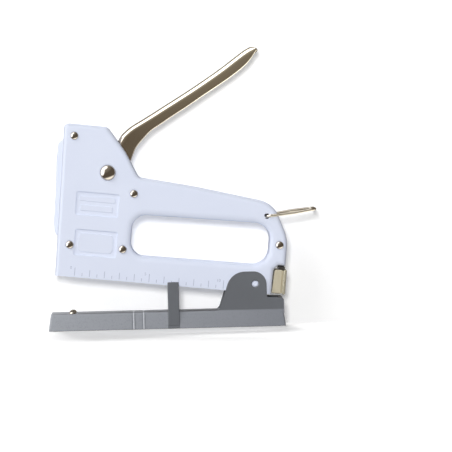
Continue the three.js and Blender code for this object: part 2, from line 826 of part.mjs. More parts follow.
function addMagazineChannel(tool) {
  const section = archSection(magazineWidth, capFoot, magazineHeight, magazineSheet);
  piece(tool, "magazine_channel", bar(section, magazineX, capX - slide), sheetSteel);

  const half = magazineWidth / 2;
  const [, rivetZ] = rivetPlaces.housing_rivet_front;
  const top = rivetZ - rivetShank - gap - bossWall - gap;
  const guide = block([noseDepth, noseDepth + guideSheet], [-half, half], [capFoot, top]);
  piece(tool, "nose_plate", guide, sheetSteel);
}

function addRail(magazine) {
  const rail = archSection(railWidth, railFoot, railTop, railSheet);
  piece(magazine, "core_rail", bar(rail, magazineX, railEnd), sheetSteel);
  const rodStart = magazineX + pusherLength / 2;
  piece(magazine, "guide_rod", bar(circle(0, rodZ, rodRadius, 12), rodStart, railEnd), toolSteel);
}

function addRearCap(magazine) {
  const bodyShape = outline(rectangle(capX, capLipX + capFillet, capFoot + gap, capTop - gap));
  const body = plate(bodyShape, -capWidth / 2, capWidth / 2, { fillet: capFillet / 2, steps: 1 });
  const lipShape = outline(rectangle(capLipX, capLipX + capLip, capFoot, capTop));
  const lip = plate(lipShape, -capLipWidth / 2, capLipWidth / 2, { fillet: capFillet, steps: 2 });
  const pocketHalf = capWidth / 2 - capWall;
  const pocket = block(
    [capX - overrun, capLipX - capWall],
    [-pocketHalf, pocketHalf],
    [-overrun, capTop - gap - capWall],
  );
  piece(magazine, "rear_cap", body.subtract(pocket).add(lip), goldPlate);
}

function addPusher(pusher) {
  const railHalf = railWidth / 2 + gap;
  const coreHalf = railWidth / 2 - railSheet - gap;
  const railHole = outline([
    [-railHalf, railFoot - gap],
    [-coreHalf, railFoot - gap],
    [-coreHalf, railTop - railSheet - gap],
    [coreHalf, railTop - railSheet - gap],
    [coreHalf, railFoot - gap],
    [railHalf, railFoot - gap],
    [railHalf, railTop + gap],
    [-railHalf, railTop + gap],
  ]);
  const half = pusherWidth / 2;
  const skin = outline(rectangle(-half, half, pusherFoot, pusherTop));
  const holes = [railHole, circle(0, rodZ, rodRadius + gap, 12)];
  const body = bar(skin, magazineX + gap, magazineX + pusherLength, holes);
  piece(pusher, "pusher", body, toolSteel);

  const start = magazineX + pusherLength + gap + pusherSpringWire / 2;
  const end = railEnd - pusherSpringWire / 2;
  const points = coilPath(pusherSpringCurls, pusherSpringRadius, (y, z, share) =>
    new THREE.Vector3(start + (end - start) * share, y, rodZ + z),
  );
  piece(pusher, "pusher_spring", wire(points, pusherSpringWire / 2, springSides), springSteel);
}

// Lock bail: one bent wire whose feet turn in the housing's sides. Its frame starts at its hinge.

const bailFoot = 1; // of its ends, past the shell's inner face
const bailBend = 4;
const bailFootBend = 1.5;

function addBail(bail) {
  const legY = bodyHalf + gap + bailWire / 2;
  const footY = hollowHalf - bailFoot;
  const at = (x, y) => new THREE.Vector3(x, y, 0);
  const corner = at(bailLength, -legY);
  const foot = bentPath([at(0, -footY), at(0, -legY), corner], bailFootBend).slice(0, -1);
  const end = bentPath([foot.at(-1), corner, at(bailLength, 0)], bailBend).slice(1, -1);
  const side = [...foot, ...end];
  const other = side.map(({ x, y }) => at(x, -y)).reverse();
  piece(bail, "lock_bail", wire([...side, ...other], bailWire / 2, 10), brightPlate);
}

// Stapling base: a flared tray on a rubber sole, with two ears that carry the housing

const soleHeight = 1.6;
const soleReveal = 0.3; // the sole stands this far below the tray
const soleInset = 3; // from the tray's ends
const soleSideInset = 2.6;
const soleWidth = baseWidth - 2 * soleSideInset;
const trayTop = 2.2; // thickness of the tray's top
const trayCorner = 2;
const trayFrontFlare = 2.1;
const trayRearFlare = 1.5;
const trayRib = 2;
const earInner = bodyHalf + gap * 2;
const earHeight = basePivotHeight - barHeight;
const earShares = [
  [-1.68, -1.12],
  [-1.363, -1, 0.33],
  [-0.885, 0.447, 0.69],
  [0.398, 0.441, 0.46],
  [0.41, -0.555, 0.08],
  [1.064, -0.585, 0.08],
  [1.064, -1.12],
];
const postX = 0.7; // front face of the guide posts from the middle of the base
const postLength = 7.6;
const postFoot = 2.2;
const postTop = 31.1;
const postThickness = 3;
const postWeb = 3;
const flankRibShares = [-0.1438, -0.1039];
const flankRibLength = 2.8;
const flankRibRise = 0.5;
const anvilFromFront = 16.1; // middle of the anvil from the front end of the base
const anvilLength = 4.5;
const anvilWidth = 16;
const anvilFootLength = 8;
const anvilFootReach = 5; // past the anvil on each side
const anvilFootWidth = anvilWidth + 2 * anvilFootReach;
const anvilSheet = 0.9;
const anvilRise = 2.4; // above the tray
const anvilDish = 0.7;
const leafSheet = 0.8;
const leafWidth = 12;

// The flared flanks as one solid block, widened all round by extra.
function trayBlock(foot, extra = 0) {
  const ring = (z, corners) => outline(corners).map(({ x, y }) => new THREE.Vector3(x, y, z));
  const half = baseLength / 2;
  const low = rectangle(-half, half, -baseWidth / 2, baseWidth / 2, trayCorner);
  const high = rectangle(
    trayFrontFlare - half,
    half - trayRearFlare,
    -barTopWidth / 2,
    barTopWidth / 2,
    trayCorner,
  );
  const [lowCorners, highCorners] = [inset(low, -extra), inset(high, -extra)];
  return loft([ring(foot, lowCorners), ring(barHeight, highCorners)], outline(lowCorners));
}

// The seat of the sole, and over it two long hollows with a rib between them.
function trayHollow() {
  const half = baseLength / 2 - soleInset - trayRib;
  const hollows = blockPair(
    [-half, half],
    [trayRib / 2, baseWidth / 2 - flankFlare - trayRib - gap],
    [-overrun, barHeight - trayTop],
  );
  const seat = traySlab(soleInset - gap, soleWidth / 2 + gap, -overrun, soleHeight + gap);
  return seat.add(hollows);
}

// A flat slab with rounded corners that lies in the tray.
function traySlab(fromEnds, halfWidth, low, high) {
  const half = baseLength / 2 - fromEnds;
  const corners = outline(rectangle(-half, half, -halfWidth, halfWidth, trayCorner));
  return loft([low, high].map((z) => corners.map(({ x, y }) => new THREE.Vector3(x, y, z))), corners);
}

function ears() {
  const corners = earShares.map(([x, z, radius = 0]) => [
    basePivotX + x * earHeight,
    basePivotHeight + z * earHeight,
    radius * earHeight,
  ]);
  const hole = circle(basePivotX, basePivotHeight, baseBossRadius + earHoleClearance);
  const outer = earInner + plasticWall;
  const options = { holes: [hole], fillet: gap, steps: 1 };
  const rear = corners.at(-1)[0];
  const lowWallTop = corners[5][1];
  const rearWall = block(
    [rear - plasticWall, rear],
    [-earInner - gap, earInner + gap],
    [barHeight - trayTop, lowWallTop],
  );
  return plate(outline(corners), earInner, outer, options)
    .add(plate(outline(corners), -outer, -earInner, options))
    .add(rearWall);
}

function guidePosts() {
  const outer = baseWidth / 2;
  const xs = [postX, postX + postLength];
  const web = postX + (postLength - postWeb) / 2;
  return blockPair(xs, [outer - postThickness, outer], [postFoot, postTop])
    .add(blockPair([web, web + postWeb], [earInner, outer], [barHeight - trayTop, postTop]));
}

function addBaseTray(base) {
  const flankRibs = trayBlock(soleReveal, flankRibRise);
  const bands = flankRibShares
    .map((share) => share * baseLength - flankRibLength / 2)
    .map((x) => block([x, x + flankRibLength], [-baseWidth, baseWidth], [0, barHeight]))
    .reduce((a, b) => a.add(b));
  const tray = trayBlock(soleReveal)
    .add(flankRibs.intersect(bands))
    .add(ears())
    .add(guidePosts())
    .subtract(trayHollow());
  piece(base, "base_tray", tray, basePlastic);
  piece(base, "base_sole", traySlab(soleInset, soleWidth / 2, 0, soleHeight), rubber);
}

function addAnvil(base) {
  const middle = anvilFromFront - baseLength / 2;
  const seat = barHeight + gap;
  const span = (length) => [middle - length / 2, middle + length / 2];
  const foot = block(
    span(anvilFootLength),
    [-anvilFootWidth / 2, anvilFootWidth / 2],
    [seat, seat + anvilSheet],
  );
  const head = plate(
    outline(rectangle(...span(anvilLength), seat, barHeight + anvilRise, anvilDish)),
    -anvilWidth / 2,
    anvilWidth / 2,
  );
  const dishRadius = anvilWidth / 4;
  const dishes = [1, -1]
    .map((side) =>
      bar(
        circle((side * anvilWidth) / 4, barHeight + anvilRise + dishRadius - anvilDish, dishRadius),
        ...span(anvilLength * 2),
      ),
    )
    .reduce((a, b) => a.add(b));
  const screwY = (anvilWidth + anvilFootReach) / 2;
  const shank = rivetShank * 0.7;
  const bore = (side) =>
    turned([[0, -overrun], [shank + gap, -overrun], [shank + gap, overrun], [0, overrun]], 12)
      .rotate([90, 0, 0])
      .translate(middle, side * screwY, seat);
  const anvil = foot.add(head.subtract(dishes)).subtract(bore(1)).subtract(bore(-1));
  piece(base, "anvil_plate", anvil, brightPlate);

  const top = seat + anvilSheet + gap;
  const profile = [
    [0, seat],
    [shank, seat],
    [shank, top],
    [shank * 2, top],
    [shank, top + shank],
    [0, top + shank],
  ];
  [["anvil_rivet_left", -1], ["anvil_rivet_right", 1]].forEach(([name, side]) => {
    const rivet = turned(profile, 12).rotate([90, 0, 0]);
    piece(base, name, rivet.translate(middle, side * screwY, 0), brightPlate);
  });
}

// Leaf spring that holds the base open: clamped by a rivet behind the pivot, it reaches forwards
// and up to the housing's underside.
const leafContactAhead = 16;
const leafTail = 5.5; // behind its rivet
const leafEndRoom = 1.5; // from its end to the rear wall
const leafBendAhead = 1;
const leafTipDrop = 1;

function addLeafSpring(base) {
  const seat = barHeight + gap;
  const rearWallX = basePivotX + earShares.at(-1)[0] * earHeight - plasticWall;
  const anchorX = rearWallX - leafEndRoom - leafTail;
  const lean = Math.tan(openAngle);
  const contactX = basePivotX - leafContactAhead;
  const contactZ =
    basePivotHeight - basePivotRise / Math.cos(openAngle) + leafContactAhead * lean - gap;
  const upper = [
    [anchorX + leafTail, seat + leafSheet],
    [basePivotX - leafBendAhead, seat + leafSheet],
    [contactX, contactZ],
    [contactX - leafTail / 2, contactZ - leafTipDrop],
  ];
  const lower = upper.map(([x, z]) => [x, z - leafSheet]).reverse();
  const half = leafWidth / 2;
  const shape = outline([...upper, ...lower]);
  const shank = rivetShank;
  const bore = turned([[0, -overrun], [shank + gap, -overrun], [shank + gap, overrun], [0, overrun]], 12)
    .rotate([90, 0, 0])
    .translate(anchorX, 0, seat);
  piece(base, "base_leaf_spring", plate(shape, -half, half).subtract(bore), springSteel);

  const top = seat + leafSheet + gap;
  const profile = [
    [0, seat],
    [shank, seat],
    [shank, top],
    [rivetHead, top],
    [rivetHead / 2, top + rivetDome],
    [0, top + rivetDome],
  ];
  const rivet = turned(profile, 14).rotate([90, 0, 0]).translate(anchorX, 0, 0);
  piece(base, "leaf_spring_rivet", rivet, brightPlate);
}

// Assembly: the housing's frame hangs on the base pivot, and the lever and bail in the housing's

function turnedFrame(parent, x, z, angle) {
  const frame = new THREE.Group();
  frame.position.set(x, 0, z);
  frame.rotation.y = angle;
  parent.add(frame);
  return frame;
}

const group = new THREE.Group();
group.name = "staple_tacker";
const opened = turnedFrame(group, basePivotX, basePivotHeight, openAngle);
const tool = turnedFrame(opened, -basePivot[0], -basePivot[1], 0);
const lever = turnedFrame(tool, ...leverPivot, -leverOpenAngle);
const bail = turnedFrame(tool, ...bailHinge, -bailRise);

addHousing(tool);
addNoseCover(tool);
addRivets(tool);
addMagazineChannel(tool);
addSprings(tool);
addReturnSpring(tool);
addPlunger(tool);
addBlade(tool);
addLeverHandle(lever);
addClaw(lever);
addRail(tool);
addRearCap(tool);
addPusher(tool);
addBail(bail);
addBaseTray(group);
addAnvil(group);
addLeafSpring(group);

export default group;
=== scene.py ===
"""A hand staple tacker, hinged on its stapling base, as it stands on a white studio floor."""

import math

import bmesh
import bpy
from mathutils import Matrix, Vector


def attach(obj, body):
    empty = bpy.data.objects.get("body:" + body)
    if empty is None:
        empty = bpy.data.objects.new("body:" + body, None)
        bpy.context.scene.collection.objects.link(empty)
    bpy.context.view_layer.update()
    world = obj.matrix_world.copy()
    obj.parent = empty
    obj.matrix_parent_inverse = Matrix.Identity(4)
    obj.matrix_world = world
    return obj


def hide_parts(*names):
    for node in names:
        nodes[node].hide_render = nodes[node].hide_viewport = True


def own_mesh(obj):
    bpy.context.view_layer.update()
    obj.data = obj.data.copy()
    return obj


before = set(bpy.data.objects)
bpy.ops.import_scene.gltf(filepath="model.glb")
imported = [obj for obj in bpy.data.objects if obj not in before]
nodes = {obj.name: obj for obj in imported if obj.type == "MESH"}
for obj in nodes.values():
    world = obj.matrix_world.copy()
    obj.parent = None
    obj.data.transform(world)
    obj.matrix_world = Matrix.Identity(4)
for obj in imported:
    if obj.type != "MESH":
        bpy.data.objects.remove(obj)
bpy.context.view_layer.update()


# The studio: a white floor and a white sheet close behind the tool, neither seen by polished
# metal. A wide lamp over the left shoulder and a small low one in front light the near side, one
# from behind draws the upper edges, and a weak one at the left lights the nose.

mm = 0.001
scene = bpy.context.scene
scene.view_settings.view_transform = "Standard"

picture_centre = Vector((41.15, 0, 67.36)) * mm
picture_width = 304.6 * mm
camera_distance = 2.5
camera_yaw = math.radians(-1)
camera_rise = math.radians(1.5)
camera_roll = math.radians(-1.364)
sensor_width = 36


def linked(name, data):
    """A new object in the scene."""
    made = bpy.data.objects.new(name, data)
    scene.collection.objects.link(made)
    return made


camera = linked("camera", bpy.data.cameras.new("camera"))
scene.camera = camera
camera.data.sensor_width = sensor_width
camera.data.lens = sensor_width * camera_distance / picture_width
towards_camera = Vector((
    math.sin(camera_yaw) * math.cos(camera_rise),
    -math.cos(camera_yaw) * math.cos(camera_rise),
    math.sin(camera_rise),
))
camera.matrix_world = (
    Matrix.Translation(picture_centre + towards_camera * camera_distance)
    @ (-towards_camera).to_track_quat("-Z", "Y").to_matrix().to_4x4()
    @ Matrix.Rotation(camera_roll, 4, "Z")
)


def lamp(name, direction, distance, size, level):
    """A square lamp that faces the tool and doesn't show in polished metal. A white surface
    square to it turns as bright as level."""
    made = linked(name, bpy.data.lights.new(name, "AREA"))
    made.data.size = size
    made.data.energy = level * (math.pi * distance) ** 2
    away = Vector(direction).normalized()
    made.location = picture_centre + away * distance
    made.rotation_mode = "QUATERNION"
    made.rotation_quaternion = away.to_track_quat("Z", "Y")
    made.visible_glossy = False


lamp("key_lamp", (-0.55, -0.5, 0.6), 3, 1.5, 0.3)
lamp("front_lamp", (-0.06, -1, 0.14), 2.7, 0.35, 0.67)
lamp("back_lamp", (-0.05, 0.69, 0.72), 4, 0.85, 1)
lamp("left_lamp", (-1, 0.02, 0.12), 3, 1, 0.15)


class Value:
    """A shader socket that takes part in sums: each operator adds its own Math node."""

    def __init__(self, finish, socket):
        self.finish = finish
        self.socket = socket

    def math(self, operation, left, right):
        return self.finish.node("Math", {"operation": operation}, {0: left, 1: right})

    def __add__(self, other):
        return self.math("ADD", self, other)

    def __sub__(self, other):
        return self.math("SUBTRACT", self, other)

    def __rsub__(self, other):
        return self.math("SUBTRACT", other, self)

    def __mul__(self, other):
        return self.math("MULTIPLY", self, other)

    def __gt__(self, other):
        return self.math("GREATER_THAN", self, other)

    __radd__ = __add__
    __rmul__ = __mul__

    def clamped(self, low, high):
        """This value spread from low..high to 0..1 and held there."""
        return self.finish.node("MapRange", {"clamp": True}, {0: self, 1: low, 2: high})


class Finish:
    """A material made of nodes. What is the same all over is set on the shader's own sockets."""

    def __init__(self, name, **constants):
        self.name = name
        self.material = bpy.data.materials.new(name)
        self.material.use_nodes = True
        self.tree = self.material.node_tree
        self.shader = self.tree.nodes["Principled BSDF"]
        self.here = self.node("TexCoord", output="Object")
        self.feeds(**constants)

    def feed(self, socket, value):
        if isinstance(value, Value):
            self.tree.links.new(value.socket, socket)
        else:
            socket.default_value = value

    def node(self, kind, settings=None, sockets=None, output=0):
        """Any node: its type, its settings, then the values or links of its sockets."""
        made = self.tree.nodes.new("ShaderNode" + kind)
        for name, value in (settings or {}).items():
            setattr(made, name, value)
        for name, value in (sockets or {}).items():
            self.feed(made.inputs[name], value)
        return Value(self, made.outputs[output])

    def mix(self, factor, first, second):
        return self.node("Mix", {"data_type": "RGBA"}, {0: factor, 6: first, 7: second}, 2)

    def place(self, stretch, turn=0.0):
        """Object coordinates, turned about the Y axis and then stretched."""
        return self.node("Mapping", {}, {
            "Vector": self.here, "Rotation": (0, turn, 0), "Scale": stretch,
        })

    def along(self, axis):
        """The object coordinate along an axis, "X", "Y" or "Z"."""
        return self.node("SeparateXYZ", {}, {0: self.here}, axis)

    def noise(self, scale, detail=3.0, place=None, roughness=0.55):
        return self.node("TexNoise", {}, {
            "Vector": place or self.here, "Scale": scale, "Detail": detail,
            "Roughness": roughness,
        })

    def bump(self, height, distance):
        return self.node("Bump", {}, {"Height": height, "Distance": distance, "Strength": 1.0})

    def feeds(self, **values):
        """Feeds the shader's sockets, whose names have _ for each space."""
        for socket, value in values.items():
            self.feed(self.shader.inputs[socket.replace("_", " ")], value)


def white_paper(name, albedo, lift):
    """White paper. The lift takes it to pure white for the camera, and other rays find it grey."""
    paper = Finish(name)
    straight = paper.node("LightPath", output="Is Camera Ray")
    dark_fibre, light_fibre = albedo - 0.02, albedo + 0.02
    white = paper.mix(paper.noise(90), (*(dark_fibre,) * 3, 1), (*(light_fibre,) * 3, 1))
    paper.feeds(
        Base_Color=paper.mix(straight, (0.22, 0.22, 0.22, 1), white), Roughness=0.9,
        Emission_Color=paper.mix(straight, (0, 0, 0, 1), (1, 1, 1, 1)),
        Emission_Strength=lift,
    )
    return paper


def sheet_of_paper(name, corners, paper):
    mesh = bpy.data.meshes.new(name)
    mesh.from_pydata(corners, [], [range(len(corners))])
    mesh.materials.append(paper.material)
    made = linked(name, mesh)
    made.visible_glossy = False
    return made


floor_reach = 2.5
floor_drop = -0.02 * mm
sheet_y = 21.5 * mm
sheet_left, sheet_right, sheet_top = -0.16, 0.26, 0.26

sheet_of_paper("floor", [
    (-floor_reach, -floor_reach, floor_drop),
    (floor_reach, -floor_reach, floor_drop),
    (floor_reach, floor_reach, floor_drop),
    (-floor_reach, floor_reach, floor_drop),
], white_paper("white_paper", 0.78, 0.24))

behind = white_paper("sheet_behind", 0.92, 0.185)
clear_from_behind = behind.node("MixShader", {}, {
    0: behind.node("NewGeometry", output="Backfacing"),
    1: Value(behind, behind.shader.outputs[0]),
    2: behind.node("BsdfTransparent"),
})
behind.feed(behind.tree.nodes["Material Output"].inputs["Surface"], clear_from_behind)
sheet = sheet_of_paper("sheet_behind", [
    (sheet_left, sheet_y, floor_drop),
    (sheet_right, sheet_y, floor_drop),
    (sheet_right, sheet_y, sheet_top),
    (sheet_left, sheet_y, sheet_top),
], behind)
sheet.visible_shadow = False

world = bpy.data.worlds.new("studio")
scene.world = world
world.use_nodes = True
air = world.node_tree


def air_node(kind, output, settings=None, **sockets):
    """A node of the world and one of its outputs; _3 means the input with the number 3."""
    made = air.nodes.new("ShaderNode" + kind)
    for name, value in (settings or {}).items():
        setattr(made, name, value)
    for socket, value in sockets.items():
        target = made.inputs[int(socket[1:])]
        if hasattr(value, "is_output"):
            air.links.new(value, target)
        else:
            target.default_value = value
    return made.outputs[output]


def over(share, below, above):
    """One colour laid over another by a share."""
    return air_node("Mix", 2, {"data_type": "RGBA"}, _0=share, _6=below, _7=above)


# What polished metal sees of the room, each patch over the ones before: the way to its middle,
# the closeness to that way (as a cosine) where it begins and where it is full, and its colour.
facing = air_node("TexCoord", "Generated")
over_the_shoulder = (-0.467, -0.358, 0.8085)
patches = [
    (over_the_shoulder, 0.35, 0.85, (0.42, 0.39, 0.33, 1)),
    (over_the_shoulder, 0.87, 0.93, (3, 3, 3, 1)),
    ((0.3, 0.15, -0.94), 0.55, 0.8, (2.1, 2.05, 1.85, 1)),
    ((-0.93, -0.31, 0.2), 0.75, 0.88, (3.4, 3.4, 3.4, 1)),
]
room = (0.17, 0.142, 0.108, 1)
for middle, begins, full, colour in patches:
    closeness = air_node("VectorMath", 1, {"operation": "DOT_PRODUCT"}, _0=facing, _1=middle)
    room = over(air_node("MapRange", 0, _0=closeness, _1=begins, _2=full), room, colour)
dim_air = (0.12, 0.12, 0.125, 1)
seen = over(air_node("LightPath", "Is Glossy Ray"), dim_air, room)
seen = over(air_node("LightPath", "Is Camera Ray"), seen, (1, 1, 1, 1))
air.links.new(seen, air.nodes["Background"].inputs["Color"])


# The housing: two injection-moulded shells of white plastic that meet in the middle plane. The
# near one has two sunk panels and a centimetre rule along its foot. Sizes are in millimetres in
# the tool's own frame, with x back along the underside and z up.

base_pivot = Vector((59.4, 0, 28.67))
foot_pivot = Vector((132.5, 0, 6.28))
open_angle = math.radians(6.38)
tool_place = (
    Matrix.Translation(base_pivot)
    @ Matrix.Rotation(open_angle, 4, "Y")
    @ Matrix.Translation(-foot_pivot)
)
unmoved = Matrix.Identity(4)

white_plastic = Finish("housing_plastic", Specular_IOR_Level=0.45)
clouds = white_plastic.noise(45, 4)
moulded_grain = white_plastic.noise(2600, 2)
handling = white_plastic.noise(220, 6)
white_plastic.feeds(
    Base_Color=white_plastic.mix(clouds, (0.715, 0.762, 0.895, 1), (0.745, 0.79, 0.915, 1)),
    Roughness=0.3 + 0.1 * clouds + 0.12 * handling,
    Normal=white_plastic.bump(moulded_grain, 0.012 * mm),
)

arc_step = math.radians(6)
least_radius = 0.01


def rounded(corners):
    """Corners (x, z, radius) as an outline; an arc keeps its count of points at any radius."""
    points = []
    for i, (x, z, radius) in enumerate(corners):
        corner = Vector((x, z))
        if radius is None:
            points.append(corner)
            continue
        back = (Vector(corners[i - 1][:2]) - corner).normalized()
        on = (Vector(corners[(i + 1) % len(corners)][:2]) - corner).normalized()
        half = math.acos(max(-1, min(1, back.dot(on)))) / 2
        inwards = (back + on).normalized()
        centre = corner + inwards * (radius / math.sin(half))
        start = corner + back * (radius / math.tan(half)) - centre
        sweep = (math.pi - 2 * half) * (-1 if back.cross(on) > 0 else 1)
        steps = max(2, math.ceil(abs(sweep) / arc_step))
        for k in range(steps + 1):
            turn = Matrix.Rotation(sweep * k / steps, 2)
            points.append(centre + turn @ start)
    return points


def inset(corners, distance):
    """The same corners with every edge moved inwards, or outwards by a negative distance."""
    moved = []
    for i, (x, z, radius) in enumerate(corners):
        before, after = corners[i - 1], corners[(i + 1) % len(corners)]
        into = Vector((x - before[0], z - before[1])).normalized()
        out = Vector((after[0] - x, after[1] - z)).normalized()
        share = distance / (1 + into.dot(out))
        if radius is not None:
            convex = into.cross(out) > 0
            radius = max(radius - distance, least_radius) if convex else radius + distance
        moved.append((x - (into.y + out.y) * share, z + (into.x + out.x) * share, radius))
    return moved


def quarter(steps):
    """The angles of a quarter turn."""
    return [k / steps * math.pi / 2 for k in range(steps + 1)]


def fillet(face, inwards, radius, steps=6):
    """(inset, place) pairs of a rounded rim, from a face at a place towards inwards."""
    return [
        (radius * (1 - math.sin(a)), face + inwards * radius * (1 - math.cos(a)))
        for a in quarter(steps)
    ]


def cleaned(bm, weld=1e-4):
    """Merges points closer than weld and turns all faces out."""
    bmesh.ops.remove_doubles(bm, verts=bm.verts, dist=weld)
    bmesh.ops.recalc_face_normals(bm, faces=bm.faces)


def mesh_piece(name, bm, place=unmoved):
    """A bmesh in millimetres as an object in the row's frame."""
    cleaned(bm)
    mesh = bpy.data.meshes.new(name)
    bm.to_mesh(mesh)
    bm.free()
    mesh.transform(Matrix.Scale(mm, 4) @ place)
    return linked(name, mesh)


def skin(name, tubes, place=unmoved):
    """Tubes of rings, each joined to the next. One flat face closes all the first rings and
    another all the last ones, so every tube after the first is a hole."""
    bm = bmesh.new()
    ends = ([], [])
    for tube in tubes:
        rings = [[bm.verts.new(point) for point in ring] for ring in tube]
        for low, high in zip(rings, rings[1:]):
            for j in range(len(low)):
                bm.faces.new((low[j - 1], low[j], high[j], high[j - 1]))
        for edges, ring in zip(ends, (rings[0], rings[-1])):
            edges.extend(bm.edges.get((ring[j - 1], ring[j])) for j in range(len(ring)))
    for edges in ends:
        bmesh.ops.triangle_fill(bm, use_beauty=True, edges=edges)
    return mesh_piece(name, bm, place)


def plate(name, outlines, profile, place=unmoved, spread=1.0):
    """A closed plate in x and z. The first outline is its edge and the others are holes; the
    profile gives (inset, y) from one face to the other, and spread widens the rims of holes."""
    tubes = [
        [
            [(p.x, y, p.y) for p in rounded(inset(corners, -distance * spread if k else distance))]
            for distance, y in profile
        ]
        for k, corners in enumerate(outlines)
    ]
    return skin(name, tubes, place)


def settled(piece):
    """Turns a piece's modifiers into its mesh."""
    graph = bpy.context.evaluated_depsgraph_get()
    mesh = bpy.data.meshes.new_from_object(piece.evaluated_get(graph))
    piece.modifiers.clear()
    piece.data = mesh
    return piece


def combined(piece, others, operation="DIFFERENCE"):
    """Cuts other solids from a piece or joins them to it; the others are used up."""
    for other in others:
        change = piece.modifiers.new("change", "BOOLEAN")
        change.operation = operation
        change.solver = "EXACT"
        change.object = other
        settled(piece)
        bpy.data.objects.remove(other)
    return piece


def smooth(piece, angle=32):
    """Smooth shading that keeps flat faces flat and edges over an angle sharp."""
    piece.data.shade_smooth()
    piece.data.set_sharp_from_angle(angle=math.radians(angle))
    weights = piece.modifiers.new("weights", "WEIGHTED_NORMAL")
    weights.keep_sharp = True
    return settled(piece)


def box(xs, ys, zs, place=unmoved, edge=0.0):
    """A block between corners, its edges rounded by a bevel."""
    bm = bmesh.new()
    bmesh.ops.create_cube(bm, size=1)
    for vertex in bm.verts:
        vertex.co = Vector([
            low + (share + 0.5) * (high - low)
            for share, (low, high) in zip(vertex.co, (xs, ys, zs))
        ])
    if edge:
        bmesh.ops.bevel(bm, geom=bm.edges, offset=edge, segments=3, profile=0.5, affect="EDGES")
    return mesh_piece("block", bm, place)


def cross_pin(x, z, radius, low, high, place=tool_place, sides=48):
    """A round pin across the tool."""
    bm = bmesh.new()
    bmesh.ops.create_cone(
        bm, cap_ends=True, segments=sides, radius1=radius, radius2=radius, depth=high - low,
        matrix=Matrix.Translation((x, (low + high) / 2, z)) @ Matrix.Rotation(math.pi / 2, 4, "X"),
    )
    return mesh_piece("pin", bm, place)


def coated(piece, finish):
    """Gives a whole piece one finish."""
    piece.data.materials.clear()
    piece.data.materials.append(finish.material)
    return piece


def placed(piece, name, body, slot, *replaced):
    """Names a finished piece, gives it to a body, and takes the plain pieces out of sight."""
    piece.name = name
    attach(piece, body)
    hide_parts(*replaced)
    return piece


body_half = 14
shell_wall = 2.5
edge_fillet = 3
seam = 0.15
seam_fillet = 0.3
notch_x = 144
lever_pivot = (27.85, 71.71)
bail_hinge = (136.54, 51.99)


def housing_corners(foot):
    """The outline of the housing down to a height."""
    return [
        (-1.4, foot, None),
        (notch_x, foot, None),
        (notch_x, 16.8, None),
        (147, 19.8, None),
        (151.8, 19.8, None),
        (151.8, 38.09, 24.99),
        (140.29, 60.9, 17),
        (88.04, 67.3, 399.3),
        (48.6, 70.3, 5.02),
        (38.49, 86.6, 39.94),
        (24.8, 102.25, 5.02),
        (-4.1, 102.4, 3.28),
    ]


finger_opening = [
    (47.1, 17.8, 9.52), (139.81, 18.9, 10.96), (139.81, 47, 10.96), (47.1, 45.3, 9.52),
]
lever_slot = [
    (27.4, 88.2, None), (31.7, 94.2, None), (37.2, 101, None), (63, 80.89, None),
    (52.5, 73.73, 2), (52.5, 66.5, 2), (39.99, 66.5, 2),
]
sunk_panels = [((8.2, 42), (37, 57.7)), ((9.5, 15), (38, 32.5))]
sunk_depth = 1.0
panel_corner = 1.2
panel_draft = 0.1
panel_floor = sunk_depth - body_half
rim_groove, rim_groove_depth, rim_groove_end = 0.4, 0.7, 1
relief_face, relief_edge, relief_rooting = -13.45, 0.25, 0.6
reliefs = [
    ((10.5, 51.5), (34.5, 54.8), 0.6), ((11.5, 45), (33, 49), 0.6), ((12, 17.5), (35.5, 30), 3),
]
rivet_places = {
    "housing_rivet_top": (3.43, 94.43),
    "housing_rivet_middle": (46.5, 59.16),
    "housing_rivet_front": (6.59, 21.47),
    "housing_rivet_low": (42.14, 21.42),
    "housing_rivet_rear": (146.71, 33.33),
}

cut_reach, cut_rear = 20, 180
through = (-cut_reach, cut_reach)
foot_excess = 2.1
opening_spread = 1.5
hollow_excess = 2
boss_root = 12
boss_gap = 0.05
rivet_boss, rivet_hole, rivet_recess = 3.4, 1.8, 3.25
pivot_boss, pivot_hole, pivot_recess = 5, 2.8, 5.8
pivot_boss_face = 9.3
recess_depth = 0.5
foot_pin, foot_pin_end = 1.65, 16.4
bail_hole = 1.9
bumper_shelf, shelf_end, shelf_levels = (11.3, 20.7), 7.6, (37.85, 40.05)
slot_half = 9.6
magazine_room = ((7.1, 146.5), (-9, 9), (-4, 13.8))
blade_room = ((8.6, 10.7), (-6.3, 6.3), (-4, 57.3))
cover_room = ((-14, 2.5), (-8.3, 8.3), (26.6, 91.85))


def corners_of(low, high, radius):
    """The corners of a rectangle, all with one radius."""
    (left, bottom), (right, top) = low, high
    return [(x, z, radius) for x, z in ((left, bottom), (right, bottom), (right, top), (left, top))]


def panel_cuts():
    """Cuts for the sunk panels, each with a fine groove along its left and upper rim."""
    mouth = -body_half - hollow_excess
    walls = [(0, mouth), (0, -body_half), (panel_draft, panel_floor)]
    cuts = [
        plate("panel", [corners_of(low, high, panel_corner)], walls, tool_place)
        for low, high in sunk_panels
    ]
    depth = (mouth, panel_floor + rim_groove_depth)
    for (left, bottom), (right, top) in sunk_panels:
        height = (bottom + rim_groove_end, top - rim_groove_end)
        length = (left + rim_groove_end, right - rim_groove_end)
        cuts.append(box((left, left + rim_groove), depth, height, tool_place))
        cuts.append(box(length, depth, (top - rim_groove, top), tool_place))
    return cuts


